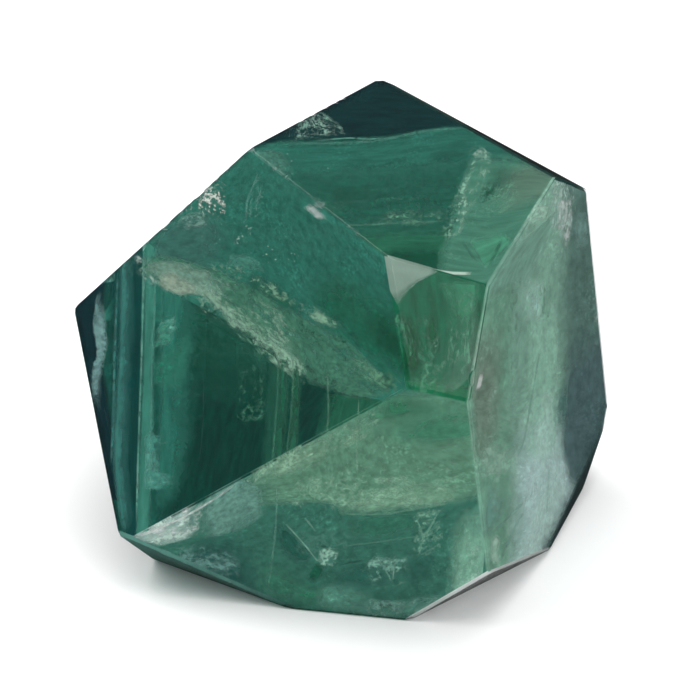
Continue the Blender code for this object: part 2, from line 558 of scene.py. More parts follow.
def threads(face: str, *notes: tuple[str, float, str, float, float]) -> tuple[Sheet, ...]:
    """Makes narrow sheets along lines, which fade at both edges and both ends.

    Args:
        face: the face that they lie under.
        notes: each one's middle line, width, paint chip, body and depth.

    Returns:
        The sheets.
    """
    made = []
    for places, width, code, body, depth in notes:
        middle = line(places)
        run = Vector(middle[-1]) - Vector(middle[0])
        side = Vector((-run.y, run.x)).normalized() * (width / 2)
        low = tuple((x - side.x, y - side.y) for x, y in middle)
        high = tuple((x + side.x, y + side.y) for x, y in middle)
        made.append(Sheet(face, low, high, chip(code), body, THREAD_SOFT, depth))
    return tuple(made)


def on_line(points: Line, share: float) -> Point:
    """Finds a point on a smooth line.

    Args:
        points: the points that the line runs through.
        share: how far along it the point lies, from 0 to 1.

    Returns:
        The point.
    """
    final = len(points) - 1
    place = share * final
    start = min(int(place), final - 1)
    part = place - start
    around = [Vector(points[max(0, min(final, start + step))]) for step in (-1, 0, 1, 2)]
    before, first, last, after = around
    curve = (last - before) * part + (2 * before - 5 * first + 4 * last - after) * part**2
    curve += (3 * first - before - 3 * last + after) * part**3
    point = first + curve / 2
    return (point.x, point.y)


def fade(share: float, start: float, end: float) -> float:
    """Works out how much of a sheet is left between its soft ends.

    Args:
        share: how far along the sheet the place lies, from 0 to 1.
        start: the share that its start takes to fade in.
        end: the share that its end takes to fade out.

    Returns:
        What is left, from 0 to 1.
    """
    left = 1.0 if start <= 0.0 else min(1.0, share / start)
    right = 1.0 if end <= 0.0 else min(1.0, (1.0 - share) / end)
    return max(0.0, left) * max(0.0, right)


def within(value: Number, least: Number, most: Number) -> Number:
    """Returns a value, or the end of its range that it lies beyond."""
    return max(least, min(most, value))


@dataclass
class Inclusions:
    """Sheets of one finish, laid as one piece.

    name: the piece's name.
    finish: what the sheets are made of.
    sheets: the sheets.
    overlap: how far sheets under neighbouring faces run past one another, in millimetres.
    step: how long the squares of their meshes are, in millimetres.
    columns, rows: the fewest and the most squares along and across a sheet.
    apart: how far each sheet's part of the pattern lies from the last one's, in millimetres.
    """

    name: str
    finish: SheetFinish
    sheets: tuple[Sheet, ...]
    overlap: float = 0.04
    step: float = 1.0
    columns: tuple[int, int] = (3, 60)
    rows: tuple[int, int] = (4, 24)
    apart: float = 37.7

    def lay(self, form: CrystalForm, sheet: Sheet, number: int) -> bmesh.types.BMesh:
        """Lays one sheet.

        Args:
            form: the crystal's form.
            sheet: the sheet.
            number: its place among the sheets, which sets its own part of the pattern.

        Returns:
            The sheet's mesh, in metres.
        """
        length = (Vector(sheet.low[-1]) - Vector(sheet.low[0])).length
        width = (Vector(on_line(sheet.high, 0.5)) - Vector(on_line(sheet.low, 0.5))).length
        columns = within(round(length / self.step), *self.columns)
        rows = within(round(width / self.step), *self.rows)
        mesh = bmesh.new()
        cover = mesh.verts.layers.float.new("cover")
        body = mesh.verts.layers.float.new("body")
        tint = mesh.verts.layers.float_color.new("tint")
        lie = mesh.loops.layers.uv.new("lie")
        bmesh.ops.create_grid(mesh, x_segments=columns, y_segments=rows, size=0.5)
        start, end, bottom, top = sheet.soft
        face = form.faces[sheet.face]
        seen = linear(sheet.tint)[:3]
        painted = (*(within((part - face.glare) / face.light, *PAINT_RANGE) for part in seen), 1.0)
        for vert in mesh.verts:
            along, up = vert.co.x + 0.5, vert.co.y + 0.5
            for loop in vert.link_loops:
                loop[lie].uv = (along * length + number * self.apart, up * width)
            low, high = on_line(sheet.low, along), on_line(sheet.high, along)
            place = (low[0] + (high[0] - low[0]) * up, low[1] + (high[1] - low[1]) * up)
            vert[cover] = fade(along, start, end) * fade(up, bottom, top)
            vert[body] = sheet.body
            vert[tint] = painted
            vert.co = form.under(sheet.face, place, face.dip + sheet.depth)
        form.clip(mesh, sheet.depth - self.overlap, self.overlap)
        turned = [side for side in mesh.faces if side.normal.dot(face.outward()) < 0.0]
        bmesh.ops.reverse_faces(mesh, faces=turned)
        return mesh

    def build(self, form: CrystalForm) -> bpy.types.Object:
        """Lays all the sheets as one piece.

        Args:
            form: the crystal's form.

        Returns:
            The dressed piece.
        """
        whole = bmesh.new()
        for number, sheet in enumerate(self.sheets):
            laid = self.lay(form, sheet, number)
            part = bpy.data.meshes.new(self.name)
            laid.to_mesh(part)
            laid.free()
            whole.from_mesh(part)
            bpy.data.meshes.remove(part)
        made = piece(self.name, whole, self.finish.material())
        made.visible_diffuse = False  # a sheet this thin doesn't shade the one beneath it
        return made


def piece(name: str, mesh: bmesh.types.BMesh, material: bpy.types.Material) -> bpy.types.Object:
    """Makes an object of a mesh, which it frees, and gives it its material.

    Args:
        name: the object's name.
        mesh: its mesh.
        material: its material.

    Returns:
        The object, in the scene.
    """
    data = bpy.data.meshes.new(name)
    mesh.to_mesh(data)
    mesh.free()
    data.materials.append(material)
    made = bpy.data.objects.new(name, data)
    bpy.context.scene.collection.objects.link(made)
    return made


@dataclass
class ClearCrystal:
    """The crystal's glassy skin, with its worn edges, dish, chips and nicks.

    finish: the clear fluorite.
    same_point: points nearer than this are one, in metres.
    same_plane: faces that meet flatter than this are one, in degrees.
    sharp: edges that turn more than this stay sharp, in degrees.
    """

    finish: SkinFinish = field(default_factory=SkinFinish)
    same_point: float = 1e-6
    same_plane: float = 0.4
    sharp: float = 24.0

    def build(self, solid: bpy.types.Object) -> bpy.types.Object:
        """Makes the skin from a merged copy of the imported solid.

        Args:
            solid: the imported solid.

        Returns:
            The dressed skin.
        """
        mesh = bmesh.new()
        mesh.from_mesh(solid.data)
        bmesh.ops.remove_doubles(mesh, verts=mesh.verts, dist=self.same_point)
        flat = radians(self.same_plane)
        bmesh.ops.dissolve_limit(mesh, angle_limit=flat, verts=mesh.verts, edges=mesh.edges)
        bmesh.ops.recalc_face_normals(mesh, faces=mesh.faces)
        for face in mesh.faces:
            face.smooth = True
        for edge in mesh.edges:
            edge.smooth = edge.calc_face_angle(0.0) < radians(self.sharp)
        made = piece("clear_crystal", mesh, self.finish.material())
        stale = made.data.attributes.get("custom_normal")
        if stale:
            made.data.attributes.remove(stale)
        weigh = made.modifiers.new("flat faces stay flat", "WEIGHTED_NORMAL")
        weigh.keep_sharp = True
        return made


@dataclass(frozen=True)
class ZonedFinish:
    """The milky zoning just under the skin, which follows the crystal's growth.

    zones: where each colour zone sits, in millimetres out from the heart, and its paint chip.
    heart: where the zones are centred, in millimetres across, up and out from the middle.
    squash: how fast the zones follow one another across, up and out.
    waver: how far they stray from flat planes, in millimetres.
    thin, thick: how dense the clouds are at their thinnest and thickest.
    """

    zones: tuple[tuple[float, Colour], ...]
    heart: Ways = (1.0, -1.0, 0.0)
    squash: Ways = (1.0, 1.0, 1.15)
    waver: float = 1.6
    thin: float = 0.40
    thick: float = 0.75

    def material(self) -> bpy.types.Material:
        """Makes the zoning's material.

        Returns:
            The material.
        """
        bench = FinishBench("zoned haze")
        where = bench.grown()
        waver = bench.vector("SUBTRACT", bench.noise(where, scale=0.35, detail=4.0), (0.5,) * 3)
        waver = bench.scaled(waver, self.waver)
        place = bench.vector("ADD", where, waver)
        place = bench.vector("SUBTRACT", place, self.heart)
        place = bench.vector("MULTIPLY", place, self.squash)
        apart = bench.node("ShaderNodeSeparateXYZ", {0: bench.vector("ABSOLUTE", place)}).outputs
        out = bench.maths("MAXIMUM", bench.maths("MAXIMUM", apart[0], apart[1]), apart[2])
        reach = self.zones[-1][0]
        ramp = bench.node("ShaderNodeValToRGB", {"Fac": bench.maths("DIVIDE", out, reach)})
        stops = ramp.color_ramp.elements
        while len(stops) < len(self.zones):
            stops.new(0.5)
        for stop, (starts, tint) in zip(stops, self.zones):
            stop.position = starts / reach
            stop.color = linear(tint)
        mottle = bench.noise(bench.grown((1.2, 0.5, 0.9)), detail=8.0, warp=0.4)
        light = bench.ease(mottle, 0.3, 0.7, 0.72, 1.28)
        cloud = bench.noise(bench.grown((0.3, 0.16, 0.3)), detail=7.0, warp=0.5)
        alpha = bench.ease(cloud, 0.35, 0.65, self.thin, self.thick)
        bench.milky(bench.scaled(ramp.outputs[0], light), alpha)
        return bench.material


@dataclass
class ZonedHaze:
    """The milky growth zoning, a closed skin of haze just under the faces.

    finish: the zoning.
    depth: how far under the faces it lies, in millimetres.
    block: how long the block is that it's cut from, in millimetres.
    """

    finish: ZonedFinish
    depth: float = 0.8
    block: float = 120.0

    def build(self, form: CrystalForm) -> bpy.types.Object:
        """Cuts the haze from a block by the crystal's faces.

        Args:
            form: the crystal's form.

        Returns:
            The dressed haze.
        """
        mesh = bmesh.new()
        bmesh.ops.create_cube(mesh, size=self.block * MM)
        form.clip(mesh, self.depth, self.depth, closed=True)
        bmesh.ops.recalc_face_normals(mesh, faces=mesh.faces)
        return piece("zoned_haze", mesh, self.finish.material())


# Paint chips for the haze's growth zones.
MILK = (98, 160, 136)
NAVY = (40, 76, 76)
DARK = (46, 100, 88)
TEAL = (50, 108, 94)
BRIGHT = (66, 132, 120)
SEA = (80, 140, 116)
LEAF = (58, 126, 102)

# Zones from the heart outwards: millimetres, and paint chip.
GROWTH = (
    (0, MILK),
    (9, SEA),
    (13, LEAF),
    (16, BRIGHT),
    (17.2, TEAL),
    (18, SEA),
    (19.6, BRIGHT),
    (20.2, TEAL),
    (21.2, DARK),
    (26, NAVY),
)

# Broad growth zones, each face's own.
ZONE_SHEETS = (
    # The solid ground under each face.
    *under(
        "left",
        ("-27.5,-22.8 -29.5,-6.8 -29.5,6.2", "-2.5,-14.8 5.5,-6.8 7.5,11.2", "24524a", 1, HARD, 0.512),
    ),
    *under(
        "top",
        (
            "-11.5,5.2 -1.5,4.2 13.5,3.2 22.5,9",
            "-11,29.2 -1.5,31.2 9.5,31.2 25.5,24.2",
            "306658", 1, HARD, 0.512,
        ),
    ),
    *under(
        "right",
        (
            "11.7,-28.8 11.7,-9.8 11.3,-4.8 11.7,20.2",
            "29.5,-24.8 29.5,-9.8 29.5,2.2 29.5,20.2",
            "708e82", 1, HARD, 0.512,
        ),
    ),
    # The upper left face: teal, greyer at its rim and darker towards the blunt tip.
    *under(
        "left",
        (
            "-24.5,3.2 -12.5,2.2 -1.5,-2.8 8.5,-7.8",
            "-12,23.2 -6.5,21.2 0,14.7 6.5,9",
            "326e61", 1, HARD, 0.5,
        ),
        ("-5.5,5.2 -0.5,0 6,-4.8", "-1.5,11.4 1.7,9 6,7.2", "26624e", 0.85, (0.4, 0, 0.3, 0.5), 0.484),
        ("1.7,0 3.5,-1.2 6.3,-3.3", "1.1,5.2 3.5,5.2 6.3,4.2", "1a4c3a", 0.75, (0.5, 0.2, 0.4, 0.5), 0.48),
        (
            "-21.5,8 -15.5,7.4 -11.5,6.4",
            "-17.9,13.8 -13.9,14.8 -10.7,13.2",
            "426e66", 0.85, (0.2, 0.5, 0.3, 0.3), 0.484,
        ),
        (
            "-11.7,5.6 -8.3,4 -3.9,2",
            "-11.3,9 -7.7,7.8 -3.5,5.6",
            "225644", 0.7, (0.4, 0.4, 0.4, 0.4), 0.482,
        ),
    ),
    # The lower face: white-edged at the left, milky green, and darker below.
    *under(
        "front",
        (
            "-25.5,-20.8 -14.5,-24.8 -4.5,-28.8 10.5,-28.8 16.5,-24.8",
            "-22.7,-17.8 -10.9,-11 -1.5,-6 4.2,-2.3 16.5,-2.3",
            "3c6c5f", 1, HARD, 0.5,
        ),
        (
            "-11.3,-16 -4.5,-15.4 -1,-15.6 -0.1,-16.6 3.8,-16.6 10.5,-15.7 15.5,-15.1",
            "-10.9,-12.2 -7.5,-10.6 -4.5,-8.8 -1.5,-7.2 0.5,-5.8 4.5,-3.8 15.5,-3.3",
            "5d8470", 0.95, (0.15, 0, 0.14, 0.05), 0.484,
        ),
        (
            "0.5,-8.8 3.5,-9.2 6.5,-9.8",
            "0.5,-5.2 3.5,-3.6 6.5,-3.2",
            "487c66", 0.75, (0.5, 0.5, 0.5, 0), 0.481,
        ),
        ("4.7,-10.4 8,-10.6 11,-10", "4.5,-5.2 7.5,-5 10.5,-5", "4c806a", 0.7, (0.5, 0.5, 0.5, 0.5), 0.478),
        (
            "9.5,-25.2 9.9,-20.8 10.1,-15.6",
            "13.3,-24.8 13.9,-20.8 13.9,-14.4",
            "78a28f", 0.9, (0.05, 0.4, 0.6, 0), 0.48,
        ),
        (
            "-1.5,-20 4,-19.5 9.5,-18.8",
            "-1.1,-16.1 4,-15.8 9.5,-15.2",
            "3a6e5d", 0.8, (0.4, 0.4, 0.5, 0.08), 0.48,
        ),
        (
            "-1.7,-24 1.5,-24.2 6.5,-23.8",
            "-1.3,-21.4 1.5,-20.8 6.5,-20.1",
            "326258", 0.75, (0.3, 0.5, 0.45, 0.3), 0.482,
        ),
        (
            "5.1,-24.2 6.7,-24 9.5,-23.2",
            "5.5,-19.4 6.9,-19 9.5,-18.2",
            "305c53", 0.75, (0.5, 0.5, 0.5, 0.5), 0.4816,
        ),
        (
            "-7.7,-20.5 -5.9,-21.4 -4.4,-21.8 -3.1,-21.3",
            "-7.3,-16.2 -6.1,-16.8 -4.7,-18.3 -3.2,-20.1",
            "2a584e", 0.95, (0.35, 0.2, 0.5, 0.2), 0.478,
        ),
        (
            "-4.3,-23 -3.5,-23.3 -2.6,-23.5",
            "-3.05,-20.7 -2.4,-21 -1.7,-21.4",
            "245c4a", 0.9, (0.2, 0.2, 0.4, 0.2), 0.477,
        ),
        (
            "-9.9,-24 -6.5,-25.6 -2.3,-26.2",
            "-9.9,-19.4 -6.5,-21 -2.7,-22.6",
            "3e7461", 0.8, (0.4, 0.4, 0.5, 0.5), 0.484,
        ),
        (
            "-5.7,-25.4 -4.1,-25.8 -2.3,-26",
            "-5.1,-22.4 -3.7,-22.7 -2.3,-23.1",
            "42866c", 0.8, (0.5, 0.4, 0.5, 0.5), 0.4832,
        ),
        (
            "-3.3,-26.2 -1,-26.5 3.5,-26.6",
            "-2.9,-23 -1,-22.6 3.1,-22.8",
            "629686", 0.9, (0.35, 0.5, 0.4, 0.45), 0.48,
        ),
        (
            "-19.5,-22.4 -15.5,-24.2 -8.3,-26.2",
            "-14.9,-18 -11.9,-17.4 -8.3,-17.8",
            "264e4a", 0.92, (0.4, 0.3, 0.1, 0.55), 0.484,
        ),
        (
            "-1.5,-26.8 4.5,-27.2 10.7,-25.4",
            "-1.5,-24.4 4.5,-24.6 10.7,-23.4",
            "507a6e", 0.8, (0.3, 0.3, 0.4, 0.4), 0.483,
        ),
        (
            "-20.5,-22 -6.5,-27.4 10.7,-28.2",
            "-19.9,-20.4 -6.5,-25.4 10.7,-25.6",
            "224842", 0.85, (0.1, 0.5, 0, 0.95), 0.475,
        ),
        (
            "2.5,-9.4 8.5,-9.4 13.5,-9",
            "3.9,-3 8.5,-3.2 14.1,-3.4",
            "407861", 0.85, (0.5, 0.1, 0.05, 0.8), 0.474,
        ),
    ),
    # The right face: a grey-green ridge strip, then pale green, with a slate rim.
    *under(
        "right",
        (
            "11.9,-28.8 12.1,-9.8 11.7,-4.8 12.9,8.2",
            "17.9,-26.8 17.5,-9.8 17.3,-4.8 17.9,14.2",
            "688a7a", 1, (0, 0, 0, 0.3), 0.5,
        ),
        (
            "14.9,-26.8 15.3,-9.8 15.5,-4.8 16.3,15.2",
            "24.5,-26.8 24.7,-9.8 24.5,2.2 24.3,18.2",
            "779588", 0.97, (0, 0, 0.4, 0.5), 0.496,
        ),
        (
            "20.7,-24.8 20.7,-9.8 20.7,2.2 20.7,18.2",
            "29.5,-20.8 29.5,-6.8 29.5,5.2 29.5,20.2",
            "546c66", 0.97, (0, 0, 0.3, 0), 0.492,
        ),
        (
            "14.7,-25.8 15.5,-16.8 16.3,-8.8 18.1,-1.8",
            "24.5,-22.8 24.3,-14.8 23.3,-8.8 22.3,-1.8",
            "a0beb4", 0.92, (0.1, 0.5, 0.4, 0.3), 0.484,
        ),
        (
            "12.5,3.6 13.3,6.2 14.1,8.2",
            "19.5,7.2 21.5,12.2 25.5,18.2",
            "6c8c80", 0.75, (0.3, 0.2, 0, 0.3), 0.484,
        ),
        (
            "22.3,-14 21.3,-8.8 21.7,-4.4 21.9,2.2",
            "27.5,-10.8 27.3,-5.8 26.7,5.2",
            "4e6264", 0.97, (0.12, 0.3, 0.06, 0), 0.478,
        ),
        (
            "12.5,-12.8 12.5,-6.8 12.3,-3.8 12.9,4.2",
            "15.7,-11.8 16.1,-6.8 16.3,-2.8 16.9,5.2",
            "697a6e", 0.95, (0.35, 0.3, 0.02, 0.45), 0.476,
        ),
        (
            "13.5,-19.4 13.6,-16 13.6,-12.6",
            "16.7,-18.4 16.9,-15.4 16.9,-13",
            "62827c", 0.85, (0.5, 0.5, 0.1, 0.6), 0.48,
        ),
        (
            "20.3,-8.8 20.5,-5.2 20.9,-1.8",
            "22.5,-8.8 22.5,-5.2 22.5,-1.8",
            "466662", 0.8, (0.5, 0.5, 0.6, 0.1), 0.4776,
        ),
    ),
    # Darker green where the faces meet below the blunt tip.
    *under(
        "front",
        (
            "3.1,-7.2 5.5,-6.8 9.5,-6.4",
            "3.1,-3.2 5.5,-3.4 10.5,-3.8",
            "2e664e", 0.85, (0.4, 0.5, 0.1, 0.65), 0.472,
        ),
    ),
    *under(
        "left",
        (
            "2.1,-3.4 3.5,-4 5.1,-4.5",
            "2.1,-0.8 3.7,-1.2 5.7,-2",
            "1c503c", 0.85, (0.45, 0.1, 0.3, 0.5), 0.472,
        ),
    ),
)

# Finely banded growth zones.
BAND_SHEETS = (
    # The top face: navy at its peak, then teal in level bands, greyer towards the right.
    *under(
        "top",
        (
            "-11.5,19.4 -6.9,20.5 0.4,20.8 4.3,21.2 7.9,22 12.1,22.3 19.5,21.2",
            "-7.5,27.2 -1.5,29.2 4,30.2 9.5,29.2 15.5,26.7 21.5,23.2 24.5,22.2",
            "1e3a3c", 1, (0, 0, 0.06, 0), 0.5,
        ),
        (
            "-11.5,16 -1.5,16.2 8.5,16.6 18.5,17.4",
            "-11,21.4 -6.9,21.3 0.4,21.4 4.3,21.8 7.9,22.6 12.1,22.9 19.5,22.2",
            "367265", 0.97, (0, 0.1, 0.6, 0.14), 0.496,
        ),
        (
            "-5.5,11.2 3.5,11.2 10.5,12 17.9,13.2",
            "-9.5,19.2 1.5,19.6 9.5,20.2 17.5,20",
            "2e6456", 0.97, (0.05, 0.1, 0.4, 0.75), 0.494,
        ),
        ("0,6 4.5,6 14.5,5.6", "-4.5,12.6 3.5,13 10.5,13.2", "326e58", 0.97, (0, 0, 0, 0.3), 0.492),
        ("3.1,6 6.5,6.2 9.9,7", "3.1,11.6 6.5,11.2 9.9,11.1", "205644", 0.92, (0.3, 0.08, 0, 0.35), 0.49),
        ("7.9,6 13.5,5.2 17.5,9", "12.3,20.6 17,20.6 23,19.2", "528674", 0.97, (0.2, 0, 0, 0.15), 0.488),
        (
            "14.5,12.4 17.1,13.8 20,14.9",
            "15.1,19.2 18.5,19.2 22.5,18",
            "688474", 0.8, (0.4, 0, 0.4, 0.25), 0.484,
        ),
        ("14.1,8 15.1,9 17.1,11.4", "11.7,11.6 13.9,12 16.3,12", "54967c", 0.9, (0.2, 0.2, 0.2, 0.3), 0.48),
        (
            "13.5,14.6 15.5,15.2 17.5,16.2",
            "13.9,19.2 15.5,19.4 17.5,19.4",
            "3a6456", 0.6, (0.4, 0.4, 0.4, 0.5), 0.482,
        ),
        (
            "-2.5,14 0.5,14 3.7,14.2",
            "-2.7,17.2 0.5,17.4 3.7,17.4",
            "285648", 0.6, (0.4, 0.5, 0.5, 0.5), 0.484,
        ),
        (
            "-2.3,13.8 -0.9,13.7 0.7,13.8",
            "-2.3,15.2 -0.9,15.3 0.7,15",
            "3a6c5c", 0.6, (0.3, 0.4, 0.4, 0.4), 0.482,
        ),
        (
            "7.9,18.6 10.1,18.8 12.7,19",
            "7.9,20.2 10.1,20.5 12.7,20.6",
            "28564b", 0.6, (0.5, 0.3, 0.4, 0.5), 0.484,
        ),
    ),
    # The growth columns of the left face, from the navy tip inwards.
    *under(
        "left",
        (
            "-24.1,-14.8 -26.5,-4.8 -28.3,5.2",
            "-22.1,-14.8 -23.3,-4.8 -24.1,1.2 -22.9,9.7",
            "1c3237", 0.97, (0, 0, 0, 0.25), 0.478,
        ),
        (
            "-21.7,-20.8 -23.3,-12.8 -23.7,-4.8 -24.1,8.2",
            "-20.9,-19.4 -20.7,-7.8 -20.5,0.2 -20.2,10.7",
            "1b4442", 0.97, (0, 0, 0.3, 0), 0.475,
        ),
        (
            "-22.3,-19.3 -23.4,-11.4 -23.2,-4.8 -22.9,0.2 -22.7,9.4",
            "-20.5,-16.8 -21.3,-11.4 -21,-4.8 -20.8,0.2 -20.6,10.7",
            "447c75", 0.9, (0.1, 0, 0.06, 0.9), 0.473,
        ),
        (
            "-21.2,-20.3 -20.6,-7.8 -20.3,1.2 -20.1,11.2",
            "-19.3,-18.8 -18.9,-7.8 -18.8,1.2 -18.7,10.2",
            "448375", 0.97, (0.05, 0, 0.05, 0.4), 0.471,
        ),
        (
            "-19.5,-17.8 -19,-7.8 -18.9,1.2 -18.7,9",
            "-15.5,-15.8 -14.1,-7.8 -13.9,0.2 -13.7,6.2",
            "367669", 0.9, (0.2, 0, 0.08, 0.8), 0.474,
        ),
        (
            "-19.5,-19.3 -18.5,-6.8 -18.5,6.7",
            "-3.5,-10.8 -1.5,-6.8 2.7,-4.8",
            "1b423a", 1, (0, 0, 0.2, 0), 0.484,
        ),
        (
            "-18.5,5.2 -14.5,5 -9.5,2.2 -3.5,-2.8",
            "-17.5,-8.8 -13.5,-8.8 -8.5,-7.8 -2.5,-8.8",
            "265c4d", 0.8, (0.3, 0.2, 0.05, 0.95), 0.482,
        ),
        (
            "-8.7,-12.8 -8.3,-6.8 -7.3,0.6",
            "-6.9,-12 -6.5,-5.8 -5.5,-0.4",
            "2a5e4e", 0.75, (0.1, 0.1, 0.4, 0.1), 0.478,
        ),
        (
            "-7.4,-12.2 -7,-5.8 -6.8,0.6",
            "-5.7,-11.4 -5.5,-5.8 -5.3,-0.6",
            "2e624f", 0.8, (0.05, 0.1, 0.05, 0.4), 0.477,
        ),
        (
            "-6,-11.4 -5.5,-5.8 -5.3,0",
            "-4.5,-10.8 -4.3,-5.8 -4.1,-1",
            "326450", 0.8, (0.05, 0.1, 0.06, 0.5), 0.476,
        ),
        ("-3.9,-11.8 -3.3,-6.8 -2.7,-4", "2.7,-8.2 3.1,-6.4 3.7,-4.8", "2a604c", 1, (0, 0, 0.4, 0), 0.48),
    ),
    # The blunt front tip: green, dark at its left foot, with a pale lip, polished, its gleam a painted
    # highlight.
    *under(
        "front_tip",
        ("4,-6.8 4.3,2.2 2.5,11.2", "14.5,-6.8 14.9,2.2 15.5,9.2", "2c8262", 1, HARD, 0.5),
        ("5.3,-4 5.7,0.2 4.9,4.6", "8.1,-3.8 8.3,0.2 7.1,4.4", "0e6848", 0.9, (0.4, 0.3, 0.1, 0.5), 0.484),
        ("8.1,-0.4 7.9,2.2 8.5,4.8", "9.7,-0.4 9.5,2.2 9.5,4.8", "14704e", 0.9, (0.4, 0.4, 0.3, 0.4), 0.48),
        (
            "11.9,-2.4 12.5,2.2 13.1,6.2",
            "12.9,-2.4 13.5,2.2 14.1,6.2",
            "187052", 0.85, (0.3, 0.3, 0.4, 0.05), 0.48,
        ),
        (
            "9.1,1.6 9.9,4.6 8.3,7.6",
            "12.9,0.6 13.5,4.2 13.9,7.2",
            "4ea27e", 0.97, (0.5, 0.1, 0.35, 0.25), 0.482,
        ),
        ("5.1,-5 5.3,-3.4 5.5,-2", "13.5,-5 13.3,-4 13.1,-2.8", "3a9068", 0.95, (0, 0.5, 0.1, 0.1), 0.478),
    ),
)

